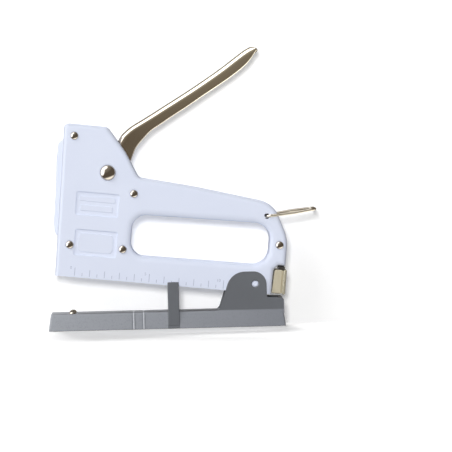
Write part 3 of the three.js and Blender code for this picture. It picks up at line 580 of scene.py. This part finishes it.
def shell(side):
    """One half of the housing; side is -1 for the near one and 1 for the far one."""
    outer = fillet(side * body_half, -side, edge_fillet)
    inner = fillet(side * seam, side, seam_fillet, 3)[::-1]
    made = plate(
        "shell", [housing_corners(-foot_excess), finger_opening], outer + inner, tool_place,
        spread=opening_spread,
    )
    hollow = plate(
        "hollow",
        [inset(housing_corners(0), shell_wall), inset(finger_opening, -shell_wall)],
        [(0, side * (body_half - shell_wall)), (0, -side * hollow_excess)],
        tool_place,
    )
    below = box((-cut_reach, cut_rear), through, (-cut_reach, 0), tool_place)
    combined(made, [hollow, below])

    def across(start, end):
        return sorted((side * start, side * end))

    rivets = rivet_places.values()
    bosses = [cross_pin(x, z, rivet_boss, *across(seam + boss_gap, boss_root)) for x, z in rivets]
    bosses.append(cross_pin(*lever_pivot, pivot_boss, *across(pivot_boss_face, boss_root)))
    bosses.append(
        cross_pin(foot_pivot.x, foot_pivot.z, foot_pin, *across(boss_root, foot_pin_end))
    )
    bosses.append(box(bumper_shelf, across(shelf_end, boss_root), shelf_levels, tool_place))
    combined(made, bosses, "UNION")
    cuts = [cross_pin(x, z, rivet_hole, *through) for x, z in rivets]
    cuts.append(cross_pin(*lever_pivot, pivot_hole, *through))
    face = across(body_half - recess_depth, cut_reach)
    cuts.extend(cross_pin(x, z, rivet_recess, *face) for x, z in rivets)
    cuts.append(cross_pin(*lever_pivot, pivot_recess, *face))
    cuts.append(cross_pin(*bail_hinge, bail_hole, *through))
    cuts.extend(box(*room, tool_place) for room in (magazine_room, blade_room, cover_room))
    cuts.append(plate("slot", [lever_slot], [(0, -slot_half), (0, slot_half)], tool_place))
    if side < 0:
        cuts.extend(panel_cuts())
    combined(made, cuts)
    if side < 0:
        relief_walls = [
            (relief_edge, relief_face), (0, relief_face + relief_edge),
            (0, panel_floor + relief_rooting),
        ]
        combined(made, [
            plate("relief", [corners_of(*relief)], relief_walls, tool_place) for relief in reliefs
        ], "UNION")
    return smooth(coated(made, white_plastic))


for name, side in (("housing_left", -1), ("housing_right", 1)):
    placed(shell(side), name + "_shell", "housing", "housing_plastic", name)


# The nose cover: a moulded cap of the same plastic that snaps over the front of both shells, with
# one long soft bulge in front.


def rims(half, radius):
    """The profile of a plate from -half to half whose rims are both rounded."""
    return fillet(-half, 1, radius) + fillet(half, -1, radius)[::-1]


cover_corners = [
    (-1.7, 91.55, 0.6), (-4.3, 91.55, 1.2), (-7, 88.47, 1.23), (-7.3, 77, 41), (-6.1, 58.37, 82),
    (-5.4, 35.64, 20.5), (-4.5, 29.7, 2), (-2.8, 26.9, 1), (1.2, 26.9, None),
]
cover_half, cover_edge = 8, 1.2
cover = plate("cover", [cover_corners], rims(cover_half, cover_edge), tool_place)
placed(smooth(coated(cover, white_plastic)), "nose_cap", "housing", "housing_plastic", "nose_cover")


# The rule on the near side: raised lines at every half centimetre along the foot, with moulded
# figures at 0, 5 and 10 cm. They are darker than the shell.

rule_plastic = Finish("rule_marks", Specular_IOR_Level=0.4)
rule_wear = rule_plastic.noise(400, 4)
rule_plastic.feeds(
    Base_Color=rule_plastic.mix(rule_wear, (0.4, 0.43, 0.54, 1), (0.5, 0.53, 0.65, 1)),
    Roughness=0.4 + 0.2 * rule_wear,
)
rule_start = 11.5
rule_spacing = 5
rule_lines = 25
rule_foot = 1
rule_face = -14.12
line_half, line_depth, line_edge = 0.2, 0.3, 0.05
line_heights = (5.6, 2.2, 4.6, 2.2, 4.6, 2.2, 4.6, 2.2, 4.6, 2.2)


def geometry_nodes(name, sockets):
    """An empty Geometry Nodes group with a Geometry input and output and the named inputs."""
    group = bpy.data.node_groups.new(name, "GeometryNodeTree")
    group.interface.new_socket("Geometry", in_out="OUTPUT", socket_type="NodeSocketGeometry")
    group.interface.new_socket("Geometry", in_out="INPUT", socket_type="NodeSocketGeometry")
    for label, kind in sockets.items():
        group.interface.new_socket(label, in_out="INPUT", socket_type="NodeSocket" + kind)
    return group


def group_node(group, kind, settings=None, **links):
    """A node of a group; each link goes from (node, output) to the named input."""
    made = group.nodes.new(kind)
    for key, value in (settings or {}).items():
        setattr(made, key, value)
    for socket, value in links.items():
        target = made.inputs[socket.replace("_", " ")]
        if isinstance(value, tuple):
            group.links.new(value[0].outputs[value[1]], target)
        else:
            target.default_value = value
    return made


def group_end(group, start, geometry):
    """Makes a group's geometry real, gives it the group's metal and puts it out."""
    real = group_node(group, "GeometryNodeRealizeInstances", Geometry=geometry)
    coloured = group_node(
        group, "GeometryNodeSetMaterial", Geometry=(real, "Geometry"), Material=(start, "Metal"),
    )
    group_node(group, "NodeGroupOutput", Geometry=(coloured, "Geometry"))


def run_group(base, group, **values):
    """Runs a group on an object and keeps its mesh."""
    change = base.modifiers.new(group.name, "NODES")
    change.node_group = group
    for item in group.interface.items_tree:
        label = item.name.replace(" ", "_")
        if item.in_out == "INPUT" and label in values:
            change[item.identifier] = values[label]
    return settled(base)


instances = geometry_nodes("repeats", {"Piece": "Object", "Metal": "Material"})
start = group_node(instances, "NodeGroupInput")
source = group_node(instances, "GeometryNodeObjectInfo", Object=(start, "Piece"))
long_or_short = group_node(
    instances, "GeometryNodeInputNamedAttribute", {"data_type": "FLOAT_VECTOR"}, Name="stretch",
)
repeats = group_node(
    instances, "GeometryNodeInstanceOnPoints", Points=(start, "Geometry"),
    Instance=(source, "Geometry"), Scale=(long_or_short, "Attribute"),
)
group_end(instances, start, (repeats, "Instances"))


def repeated(name, places, unit, finish, stretches=None):
    """Copies of a piece at places in millimetres, as one piece."""
    mesh = bpy.data.meshes.new(name)
    mesh.from_pydata([Vector(place) * mm for place in places], [], [])
    stretch = mesh.attributes.new("stretch", "FLOAT_VECTOR", "POINT")
    for i in range(len(places)):
        stretch.data[i].vector = stretches[i] if stretches else (1, 1, 1)
    made = linked(name, mesh)
    run_group(made, instances, Piece=unit, Metal=finish.material)
    bpy.data.objects.remove(unit)
    return made


def carried(piece, place):
    """Moves a finished piece by a place that is given in millimetres."""
    piece.data.transform(Matrix.Scale(mm, 4) @ place @ Matrix.Scale(1 / mm, 4))
    return piece


line = box((-line_half, line_half), (0, line_depth), (0, 1), edge=line_edge)
rule = repeated(
    "rule", [(rule_start + i * rule_spacing, rule_face, rule_foot) for i in range(rule_lines)],
    line, rule_plastic, [(1, 1, line_heights[i % len(line_heights)]) for i in range(rule_lines)],
)
placed(carried(rule, tool_place), "rule_marks", "housing", "housing_plastic")

figure_size = 2.8
figure_depth = 0.12
figure_right, figure_foot, figure_spacing = rule_start - 2, 5.4, 50
written = bmesh.new()
for i, figure in enumerate(("0", "5", "10")):
    letters = bpy.data.curves.new("figure", "FONT")
    letters.body = figure
    letters.size = figure_size
    letters.extrude = figure_depth
    letters.resolution_u = 3
    letters.align_x = "RIGHT"
    typed = linked("figure", letters)
    graph = bpy.context.evaluated_depsgraph_get()
    outline = bpy.data.meshes.new_from_object(typed.evaluated_get(graph))
    outline.transform(
        Matrix.Translation((
            figure_right + i * figure_spacing, rule_face + figure_depth, figure_foot,
        ))
        @ Matrix.Rotation(math.pi / 2, 4, "X")
    )
    written.from_mesh(outline)
    bpy.data.objects.remove(typed)
figures = coated(mesh_piece("figures", written, tool_place), rule_plastic)
placed(figures, "rule_figures", "housing", "housing_plastic")


# The rivets: nickel-plated steel, domed on both sides. Five small ones clamp the shells, and the
# large one carries the lever.


def polished_plate(name, dark, light, shade_span=None):
    """Nickel plate with faint clouds and lines. Its colour follows the clouds, or it goes from
    dark to light between two places along X, a painted shade."""
    finish = Finish(name, Metallic=1.0)
    clouds = finish.noise(160, 5)
    fine_lines = finish.noise(900, 3, finish.place((0.08, 1, 1)))
    # With a span along X the colour is painted shade: dark before the first place, light past the
    # second.
    share = finish.along("X").clamped(*shade_span) + 0.2 * clouds - 0.1 if shade_span else clouds
    finish.feeds(
        Base_Color=finish.mix(share, dark, light),
        Roughness=0.07 + 0.06 * clouds + 0.03 * fine_lines,
        Normal=finish.bump(fine_lines, 0.004 * mm),
    )
    return finish


nickel = polished_plate("bright_plate", (0.46, 0.42, 0.38, 1), (0.54, 0.5, 0.46, 1))
rivet_seat = 14.3


def circle(x, z, radius, sides=40):
    """A round outline, as corners (x, z, radius) without rounding."""
    turns = [2 * math.pi * k / sides for k in range(sides)]
    return [(x + radius * math.cos(a), z + radius * math.sin(a), None) for a in turns]


def turned(profile, sides=48):
    """A body turned round its axis. The profile is (radius, height) from one end to the other."""
    bm = bmesh.new()
    rings = [
        [bm.verts.new((x, height, z)) for x, z, _ in circle(0, 0, radius, sides)]
        for radius, height in profile
    ]
    for low, high in zip(rings, rings[1:]):
        for j in range(sides):
            bm.faces.new((low[j - 1], low[j], high[j], high[j - 1]))
    return mesh_piece("turned", bm)


def dome(head, height, steps=10):
    """Half of a rivet's head, from its rim to its crown, seen as radius and height."""
    return [(head * math.cos(a), height * math.sin(a)) for a in quarter(steps)]


def rivet(shank, head, height):
    """A rivet across both shells, from one domed head to the other."""
    near = [(r, -rivet_seat - y) for r, y in dome(head, height)][::-1]
    far = [(r, rivet_seat + y) for r, y in dome(head, height)]
    return turned(near + [(shank, -rivet_seat), (shank, rivet_seat)] + far)


small_rivets = repeated(
    "rivets", [(x, 0, z) for x, z in rivet_places.values()],
    rivet(shank=1.5, head=2.7, height=1.7), nickel,
)
carried(small_rivets, tool_place)
placed(smooth(small_rivets), "housing_rivets", "housing", "bright_plate", *rivet_places)


def at(x, z):
    """The tool's frame moved to a place in its middle plane."""
    return tool_place @ Matrix.Translation((x, 0, z))


big_rivet = coated(carried(rivet(shank=2.5, head=5.3, height=3.3), at(*lever_pivot)), nickel)
placed(smooth(big_rivet), "pivot_rivet", "housing", "bright_plate", "lever_rivet")


# The lever: a channel pressed from steel sheet and nickel-plated, open underneath, with two ears
# round the big rivet and its end rolled back. Its own frame has x along the chord to the tip.

# Painted shade on the lever: its plate is darker towards the root and lighter towards the tip.
root_shaded_nickel = polished_plate(
    "handled_plate", (0.47, 0.4, 0.34, 1), (0.93, 0.88, 0.76, 1), shade_span=(-0.06, 0.035),
)
lever_length = 129.3
lever_turn = math.radians(-45.4)
lever_place = at(*lever_pivot) @ Matrix.Rotation(lever_turn, 4, "Y")
lever_sheet = 1.5
lever_width = 18
lever_bend, deepest_bend = 3.6, 0.68
lever_rim, deepest_rim = 0.8, 0.24

# Stations along the lever: the place, the top and the lower edge as shares of its length, and
# the width as a share of its width.
lever_stations = [
    (0.108, 0.077, -0.025, 1), (0.17, 0.1, -0.006, 1), (0.2, 0.1045, 0.005, 1),
    (0.247, 0.104, 0.0136, 1), (0.309, 0.0945, 0.02, 0.99), (0.371, 0.085, 0.0135, 0.97),
    (0.44, 0.0758, 0.006, 0.95), (0.534, 0.0625, -0.006, 0.92), (0.626, 0.0505, -0.0155, 0.89),
    (0.727, 0.04, -0.0272, 0.86), (0.804, 0.0335, -0.035, 0.83), (0.889, 0.0295, -0.038, 0.8),
    (0.944, 0.0262, -0.0315, 0.78), (0.982, 0.019, -0.0205, 0.76), (1, 0.004, -0.0165, 0.74),
]


def spline(rows, steps):
    """Rows of numbers with a smooth curve through them, in steps between each two."""
    fine = []
    for i in range(len(rows) - 1):
        before, here, there, after = (
            rows[min(max(i + k, 0), len(rows) - 1)] for k in (-1, 0, 1, 2)
        )
        for t in (k / steps for k in range(steps)):
            fine.append([
                b + 0.5 * t * (
                    c - a + t * (2 * a - 5 * b + 4 * c - d + t * (3 * b - a - 3 * c + d))
                )
                for a, b, c, d in zip(before, here, there, after)
            ])
    return fine + [rows[-1]]


def channel_ring(x, top, bottom, width):
    """The section of the pressed sheet at one place of the lever."""
    half = width / 2
    bend = min(lever_bend, (top - bottom) * deepest_bend)
    fold = min(lever_rim, (top - bottom) * deepest_rim)

    def arch(half, top, bend):
        right = [
            (half - bend + bend * math.cos(a), top - bend + bend * math.sin(a)) for a in quarter(6)
        ]
        return right + [(-y, z) for y, z in reversed(right)]

    rim = [
        (half - fold * (1 - math.sin(a)), bottom + fold * (1 - math.cos(a))) for a in quarter(4)
    ]
    outer = rim + arch(half, top, bend) + [(-y, z) for y, z in reversed(rim)]
    inner_half = half - lever_sheet
    inner = arch(inner_half, top - lever_sheet, bend / 2)
    inner = [(inner_half, bottom), *inner, (-inner_half, bottom)]
    return [(x, y, z) for y, z in outer + inner[::-1]]


lever_rings = [
    channel_ring(x * lever_length, top * lever_length, low * lever_length, width * lever_width)
    for x, top, low, width in spline(lever_stations, 5)
]
handle = skin("handle", [lever_rings], lever_place)

ear_corners = [
    (-8, -8, 7.15), (10, -8, 5.6), (25.86, 1.29, None), (25.86, 9.17, None), (13.96, 7.56, None),
    (-8, 7.56, 7.15),
]
claw_pin_place, claw_pin_hole = (10.99, 2), 1.7
ear_holes = [circle(0, 0, pivot_hole), circle(*claw_pin_place, claw_pin_hole)]
ear_face, ear_edge = lever_width / 2, 0.4
lever_ears = [
    plate("ear", [ear_corners, *ear_holes], [
        (0, side * (ear_face - lever_sheet)), (0, side * (ear_face - ear_edge)),
        (ear_edge, side * ear_face),
    ], lever_place)
    for side in (-1, 1)
]
curl_place, curl_radius, curl_half = (128.5, -1.34), 1.6, 6
curl = cross_pin(*curl_place, curl_radius, -curl_half, curl_half, lever_place)
combined(handle, [*lever_ears, curl], "UNION")
placed(smooth(coated(handle, root_shaded_nickel)), "lever_channel", "lever", "bright_plate", "lever_handle")


# The lock bail: one bent nickel-plated wire whose feet turn in the sides of the housing. Its legs
# part a little half way along, so that both show from the side.

bail_turn = math.radians(-13.65)
bail_place = at(*bail_hinge) @ Matrix.Rotation(bail_turn, 4, "Y")
wires = geometry_nodes("bent_wire", {
    "Wire Radius": "Float", "Bend": "Float", "Metal": "Material",
})
start = group_node(wires, "NodeGroupInput")
run = group_node(wires, "GeometryNodeMeshToCurve", Mesh=(start, "Geometry"))
bent = group_node(
    wires, "GeometryNodeFilletCurve", {"mode": "POLY"}, Curve=(run, "Curve"),
    Radius=(start, "Bend"), Count=8, Limit_Radius=True,
)
ring = group_node(
    wires, "GeometryNodeCurvePrimitiveCircle", Resolution=20, Radius=(start, "Wire Radius"),
)
swept = group_node(
    wires, "GeometryNodeCurveToMesh", Curve=(bent, "Curve"), Profile_Curve=(ring, "Curve"),
    Fill_Caps=True,
)
group_end(wires, start, (swept, "Mesh"))


def wire(name, points, radius, finish, place=tool_place, bend=0.0):
    """A round wire through points, its corners bent to a radius."""
    mesh = bpy.data.meshes.new(name)
    mesh.from_pydata([Vector(p) for p in points], [(i, i + 1) for i in range(len(points) - 1)], [])
    made = linked(name, mesh)
    run_group(made, wires, Wire_Radius=radius, Bend=bend, Metal=finish.material)
    bm = bmesh.new()
    bm.from_mesh(made.data)
    cleaned(bm, weld=1e-5)
    bm.to_mesh(made.data)
    bm.free()
    made.data.transform(Matrix.Scale(mm, 4) @ place)
    return made


leg_y = 15.3
foot_y = 10.5
leg_middle, leg_twist = 18, 0.5
bail_reach = 32.5
bail_side = [
    (0, -foot_y, 0), (0, -leg_y, 0), (leg_middle, -leg_y, -leg_twist), (bail_reach, -leg_y, 0),
]
wire_plate = Finish("wire_plate", Metallic=1.0)
drawn = wire_plate.noise(700, 4, wire_plate.place((0.1, 1, 1)))
wire_plate.feeds(
    Base_Color=wire_plate.mix(drawn, (0.6, 0.55, 0.48, 1), (0.68, 0.64, 0.57, 1)),
    Roughness=0.26 + 0.12 * drawn,
)
bail = wire(
    "bail", bail_side + [(x, -y, -z) for x, y, z in reversed(bail_side)], 1.0, wire_plate,
    bail_place, bend=3.0,
)
placed(smooth(bail), "bail_wire", "bail", "bright_plate", "lock_bail")


# The stapling base: a grey moulded tray with flared flanks on a rubber sole. Two ears behind
# carry the housing, and two posts at the middle guide it. The flanks are painted lighter than
# the ears and posts as a painted sheen, stronger at the front end than at the rear, with a moulded
# grain in it; the two ribs and the upper edge carry painted highlights.

base_half = 79.4
base_width = 40
flare, front_slope, rear_slope = 3, 1.7, 1.5
bar_height = 11.3
tray_foot = 0.3
tray_corner = 1.2
rib_places = ((-22.4, 0.8), (-15.65, 0.75))
rib_excess = 0.9
rib_highlight_half = 0.4
post_reach = (0.7, 8.3)
post_margin = 0.2

grey_plastic = Finish("base_plastic", Specular_IOR_Level=0.6)
grey_clouds = grey_plastic.noise(60, 4)
grey_grain = grey_plastic.noise(1500, 3)
grey_height = grey_plastic.along("Z")
grey_length = grey_plastic.along("X")


def within(value, low, high):
    """1 where a value lies between two places in millimetres, else 0."""
    return (value > low * mm) * (1 - (value > high * mm))


def by_height(low, high):
    """From 0 to 1 between two heights over or under the tray's upper edge."""
    return grey_height.clamped((bar_height + low) * mm, (bar_height + high) * mm)


beside_posts = 1 - within(grey_length, post_reach[0] - post_margin, post_reach[1] + post_margin)
# Painted highlight: the two ribs are painted light where light catches them.
painted_rib_highlights = sum(
    within(grey_length, middle - rib_highlight_half, middle + rib_highlight_half) for middle, _ in rib_places
)
# The flanks under the upper edge and beside the posts, with a moulded grain: the mask of the
# painted sheen.
flank_sheen_and_grain = by_height(0.3, -0.1) * beside_posts * (0.5 + grey_plastic.noise(900, 2))
# Painted highlight in a band just under the upper edge.
painted_edge_highlight = by_height(-1.5, -0.7) * by_height(0.5, -0.1) * beside_posts
grey_walls = grey_plastic.mix(grey_clouds, (0.124, 0.132, 0.146, 1), (0.144, 0.153, 0.168, 1))
# Painted sheen: the flanks are lighter than the walls, and lighter at the front end than at the
# rear.
sheen_painted_flanks = grey_plastic.mix(
    grey_length.clamped(-0.08, 0.08), (0.33, 0.345, 0.375, 1), (0.205, 0.216, 0.242, 1),
)
grey_plastic.feeds(
    Base_Color=grey_plastic.mix(
        painted_rib_highlights * flank_sheen_and_grain,
        grey_plastic.mix(flank_sheen_and_grain + 0.5 * painted_edge_highlight, grey_walls, sheen_painted_flanks),
        (0.6, 0.62, 0.66, 1),
    ),
    Roughness=0.34 + 0.12 * grey_clouds + 0.1 * flank_sheen_and_grain,
    Normal=grey_plastic.bump(grey_grain, 0.02 * mm),
)


def flank(extra=0.0, edge=0.5):
    """The tray's outer form with flared sides and a rounded upper edge, grown by extra."""
    rings = []
    levels = [(0, tray_foot)] + [
        (edge * (1 - math.cos(a)), bar_height - edge + edge * math.sin(a)) for a in quarter(4)
    ]
    for inwards, z in levels:
        share = (z - tray_foot) / (bar_height - tray_foot)
        front = share * front_slope - base_half - extra
        rear = base_half - share * rear_slope + extra
        half = base_width / 2 - flare * share + extra
        corners = corners_of((front, -half), (rear, half), tray_corner)
        rings.append([(p.x, p.y, z) for p in rounded(inset(corners, inwards))])
    return skin("flank", [rings])


tray = flank()
ear_shares = [
    (-1.68, -1.12, None), (-1.363, -1, 0.33), (-0.885, 0.447, 0.69), (0.398, 0.441, 0.46),
    (0.41, -0.555, 0.08), (1.064, -0.585, 0.08), (1.064, -1.12, None),
]
ear_reach = 17.37
base_ear = [
    (base_pivot.x + x * ear_reach, base_pivot.z + z * ear_reach, r and r * ear_reach)
    for x, z, r in ear_shares
]
ear_hole, ear_inside, ear_outside, ear_rim = 2.3, 14.6, 17.1, 0.6
deck = 9.1
rear_x, rear_wall, rear_half = base_ear[-1][0], 2.5, 14.9
post_foot, post_top, post_faces = 2.2, 31.1, (17, 20)
web_reach, web_end = (3, 6), 19
fine_edge, blunt_edge = 0.3, 0.5
additions = [
    plate("ear", [base_ear, circle(base_pivot.x, base_pivot.z, ear_hole)], profile)
    for profile in (
        fillet(-ear_outside, 1, ear_rim) + [(0, -ear_inside)],
        [(0, ear_inside)] + fillet(ear_outside, -1, ear_rim)[::-1],
    )
]
additions.append(box(
    (rear_x - rear_wall, rear_x), (-rear_half, rear_half), (deck, base_ear[-2][1]), edge=fine_edge,
))
for side in (-1, 1):
    post = sorted(side * face for face in post_faces)
    web = sorted((side * ear_inside, side * web_end))
    additions.append(box(post_reach, post, (post_foot, post_top), edge=blunt_edge))
    additions.append(box(web_reach, web, (deck, post_top), edge=fine_edge))
wide = (-30, 30)
for middle, half in rib_places:
    rib = flank(rib_excess)
    band = box((middle - half, middle + half), wide, (0, bar_height), edge=fine_edge)
    additions.append(combined(rib, [band], "INTERSECT"))
combined(tray, additions, "UNION")

hollow_length, hollow_inside, hollow_outside = (-74.4, 74.4), 1, 14.7
sole_seat = ((-76.7, 76.7), (-17.7, 17.7), (-4, 1.9))
groove_half, groove_depth = 0.38, 1.7
hollows = [
    box(
        hollow_length, sorted((side * hollow_inside, side * hollow_outside)), (-4, deck),
        edge=blunt_edge,
    )
    for side in (-1, 1)
]
hollows.append(box(*sole_seat))
for middle, half in rib_places:
    for x in (middle - half, middle + half):
        groove = box((x - groove_half, x + groove_half), wide, (-1, bar_height + 1))
        hollows.append(combined(groove, [flank(-groove_depth)]))
combined(tray, hollows)
placed(smooth(coated(tray, grey_plastic)), "tray", "base", "base_plastic", "base_tray")


# The rubber sole and the anvil: the sole sits in the tray's seat, and the anvil is a nickel-plated
# block with two dished grooves that bend the staple's legs, held by two small rivets.

rubber = Finish("rubber", Specular_IOR_Level=0.3)
rubber_dust = rubber.noise(300, 5)
rubber_grain = rubber.noise(1800, 2)
rubber.feeds(
    Base_Color=rubber.mix(rubber_dust, (0.018, 0.018, 0.019, 1), (0.05, 0.05, 0.052, 1)),
    Roughness=0.7 + 0.25 * rubber_dust,
    Normal=rubber.bump(rubber_grain, 0.03 * mm),
)


flat_angle, sharp_angle = math.radians(2), math.radians(40)


def softened(name, width, finish):
    """A copy of a plain piece with whole flat faces and rounded edges."""
    bm = bmesh.new()
    bm.from_mesh(nodes[name].data)
    bmesh.ops.remove_doubles(bm, verts=bm.verts, dist=1e-6)
    bmesh.ops.dissolve_limit(bm, angle_limit=flat_angle, verts=bm.verts, edges=bm.edges)
    sharp = [e for e in bm.edges if len(e.link_faces) == 2 and e.calc_face_angle() > sharp_angle]
    bmesh.ops.bevel(
        bm, geom=sharp, offset=width * mm, segments=2, profile=0.5, affect="EDGES",
        clamp_overlap=True,
    )
    bmesh.ops.triangulate(bm, faces=[face for face in bm.faces if len(face.verts) > 4])
    mesh = bpy.data.meshes.new(name)
    bm.to_mesh(mesh)
    bm.free()
    mesh.materials.append(finish.material)
    return smooth(linked(name, mesh))


def dressed(name, shown_as, body, width, finish):
    """A softened copy in the place of a plain piece."""
    return placed(softened(name, width, finish), shown_as, body, finish.name, name)


dressed("base_sole", "sole", "base", 0.4, rubber)
anvil_sink = Matrix.Translation((0, 0, -1.35 * mm))
anvil = softened("anvil_plate", 0.2, wire_plate)
anvil.data.transform(anvil_sink)
placed(anvil, "anvil", "base", "bright_plate", "anvil_plate")

shank_foot, anvil_top, shank = 11.6, 12.8, 1.05
rivet_x, rivet_y = -63.3, 10.5
anvil_head = [(radius, anvil_top + up) for radius, up in dome(head=2.3, height=1.6)]
anvil_rivet = turned([(0, shank_foot), (shank, shank_foot), (shank, anvil_top)] + anvil_head)
anvil_rivet.data.transform(Matrix.Rotation(math.pi / 2, 4, "X"))
anvil_rivets = repeated(
    "anvil_rivets", [(rivet_x, -rivet_y, 0), (rivet_x, rivet_y, 0)], anvil_rivet, wire_plate,
)
anvil_rivets.data.transform(anvil_sink)
placed(
    smooth(anvil_rivets), "anvil_screws", "base", "bright_plate",
    "anvil_rivet_left", "anvil_rivet_right",
)


# The leaf spring behind the pivot: blued strip that holds the base open, with its own rivet. It
# flattens as the tool closes.

spring_steel = Finish("spring_steel", Metallic=1.0)
spring_tint = spring_steel.noise(240, 4)
spring_steel.feeds(
    Base_Color=spring_steel.mix(spring_tint, (0.2, 0.21, 0.24, 1), (0.34, 0.34, 0.35, 1)),
    Roughness=0.28 + 0.2 * spring_tint,
)
leaf = dressed("base_leaf_spring", "leaf", "base", 0.15, spring_steel)
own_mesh(leaf)
dressed("leaf_spring_rivet", "leaf_rivet", "base", 0.2, nickel)


# The drive inside the head: the lever's claw lifts a plunger with the driver blade against the
# main spring, which pushes on a cap under the roof; a rubber bumper stops the blow.

tool_steel = Finish("tool_steel", Metallic=1.0)
oil = tool_steel.noise(130, 5)
ground_lines = tool_steel.noise(1400, 2, tool_steel.place((0.1, 1, 1)))
tool_steel.feeds(
    Base_Color=tool_steel.mix(oil, (0.3, 0.3, 0.31, 1), (0.48, 0.48, 0.48, 1)),
    Roughness=0.25 + 0.2 * oil + 0.1 * ground_lines,
    Normal=tool_steel.bump(ground_lines, 0.006 * mm),
)
dressed("lever_claw", "claw", "lever", 0.4, tool_steel)
dressed("claw_pin", "cross_pin", "lever", 0.3, tool_steel)
dressed("plunger", "plunger_block", "driver", 0.3, tool_steel)
dressed("driver_blade", "blade", "driver", 0.15, tool_steel)
dressed("spring_cap", "cap_block", "housing", 0.3, grey_plastic)
dressed("bumper", "bumper_block", "housing", 0.6, rubber)

closing = 0.8


def coil(radius, start, end, turns, steps=24):
    """Points of a coil along its axis, its end turns closed, as (across, up, along)."""
    count = turns * steps
    points = []
    for k in range(count + 1):
        share = k / count
        angle = 2 * math.pi * k / steps
        along = share - math.sin(2 * math.pi * share) / (2 * math.pi) * closing
        points.append((
            radius * math.cos(angle), radius * math.sin(angle), start + (end - start) * along,
        ))
    return points


spring_x, spring_foot, spring_top = 15.7, 75.85, 95.5
main_turns = coil(radius=4, start=spring_foot, end=spring_top, turns=6)
main_spring = wire(
    "main_coil", [(spring_x + a, b, c) for a, b, c in main_turns], 0.8, spring_steel,
)
placed(smooth(main_spring), "main_coil", "housing", "spring_steel", "main_spring")
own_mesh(main_spring)

return_near, return_far = 3.35, 6.65
leg_ends = ((33.85, return_near, 60.01), (34.14, return_far, 78.69))
return_turns = [
    (lever_pivot[0] + a, c, lever_pivot[1] + b)
    for a, b, c in coil(radius=6, start=return_near, end=return_far, turns=2)
]
return_spring = wire(
    "return_coil", [leg_ends[0], *return_turns, leg_ends[1]], 0.55, spring_steel,
)
placed(smooth(return_spring), "return_coil", "housing", "spring_steel", "lever_return_spring")


# The magazine: a zinc-plated channel fixed in the foot of the housing. The rear cap draws out
# with a core rail and a rod, and the pusher runs on them before its long thin spring.

sheet_steel = Finish("sheet_steel", Metallic=1.0)
spangle = sheet_steel.node(
    "TexVoronoi", {}, {"Vector": sheet_steel.here, "Scale": 260.0}, "Distance",
)
rolled = sheet_steel.noise(1200, 3, sheet_steel.place((0.05, 1, 1), open_angle))
sheet_steel.feeds(
    Base_Color=sheet_steel.mix(spangle, (0.56, 0.57, 0.59, 1), (0.66, 0.67, 0.68, 1)),
    Roughness=0.3 + 0.15 * spangle + 0.1 * rolled,
    Normal=sheet_steel.bump(rolled, 0.005 * mm),
)
dressed("magazine_channel", "channel", "housing", 0.3, sheet_steel)
dressed("nose_plate", "nose_guide", "housing", 0.3, sheet_steel)
dressed("core_rail", "rail", "magazine", 0.25, sheet_steel)
dressed("guide_rod", "rod", "magazine", 0.3, tool_steel)
dressed("pusher", "pusher_block", "pusher", 0.3, tool_steel)

rod_height, coil_front, coil_rear = 4.8, 23.65, 147.55
pusher_turns = coil(radius=1.9, start=coil_front, end=coil_rear, turns=40, steps=16)
pusher_spring = wire(
    "pusher_coil", [(c, a, rod_height + b) for a, b, c in pusher_turns], 0.35, spring_steel,
)
placed(smooth(pusher_spring), "pusher_coil", "pusher", "spring_steel", "pusher_spring")
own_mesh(pusher_spring)


# The rear cap: pressed and yellow-passivated, with a lip to pull it by. A strip of blued spring
# steel on top of it catches under the shells and holds the magazine shut.

passivated = Finish("gold_plate", Metallic=0.35, Specular_IOR_Level=0.6)
passivation = passivated.noise(210, 5)
passivated.feeds(
    Base_Color=passivated.mix(passivation, (0.7, 0.64, 0.48, 1), (0.8, 0.74, 0.57, 1)),
    Roughness=0.28 + 0.14 * passivation,
)
# Painted shade: the lip wears a darker copy of the gold plate, with less metal in it, that sets how
# bright the lip shows.
lip_shaded_gold = Finish("worn_plate", Metallic=0.25, Specular_IOR_Level=0.6)
lip_clouds = lip_shaded_gold.noise(260, 5)
lip_shaded_gold.feeds(
    Base_Color=lip_shaded_gold.mix(lip_clouds, (0.43, 0.395, 0.29, 1), (0.53, 0.495, 0.38, 1)),
    Roughness=0.22 + 0.12 * lip_clouds,
)
cap_corners = [
    (144.2, 0.7, 0.3), (150.4, 0.7, 0.3), (150.4, 16.8, 0.3), (145.6, 16.8, 0.8),
    (144.9, 15.5, 0.8),
]
cap_half, cap_edge = 11.2, 0.8
cap_neck = ((149, 152), (-9.8, 9.8), (1.2, 16.3))
cap_hollow = ((140, 148.2), (-9.6, 9.6), (-4, 15.2))
cap_body = plate("cap", [cap_corners], rims(cap_half, cap_edge), tool_place)
combined(cap_body, [box(*cap_neck, tool_place)], "UNION")
combined(cap_body, [box(*cap_hollow, tool_place, edge=0.6)])
placed(smooth(coated(cap_body, passivated)), "end_cap", "magazine", "gold_plate", "rear_cap")

lip_low, lip_high, lip_half, lip_edge = (151.1, 0.4), (153.2, 17.1), 12.5, 0.9
lip_corners = corners_of(lip_low, lip_high, lip_edge)
cap_lip = plate("lip", [lip_corners], rims(lip_half, lip_edge), tool_place)
placed(smooth(coated(cap_lip, lip_shaded_gold)), "cap_lip", "magazine", "gold_plate")

catch_strip = ((147.3, 151.7), (-10.5, 10.5), (16.9, 19.1))
catch = box(*catch_strip, tool_place, edge=fine_edge)
placed(smooth(coated(catch, spring_steel)), "cap_catch", "magazine", "spring_steel")
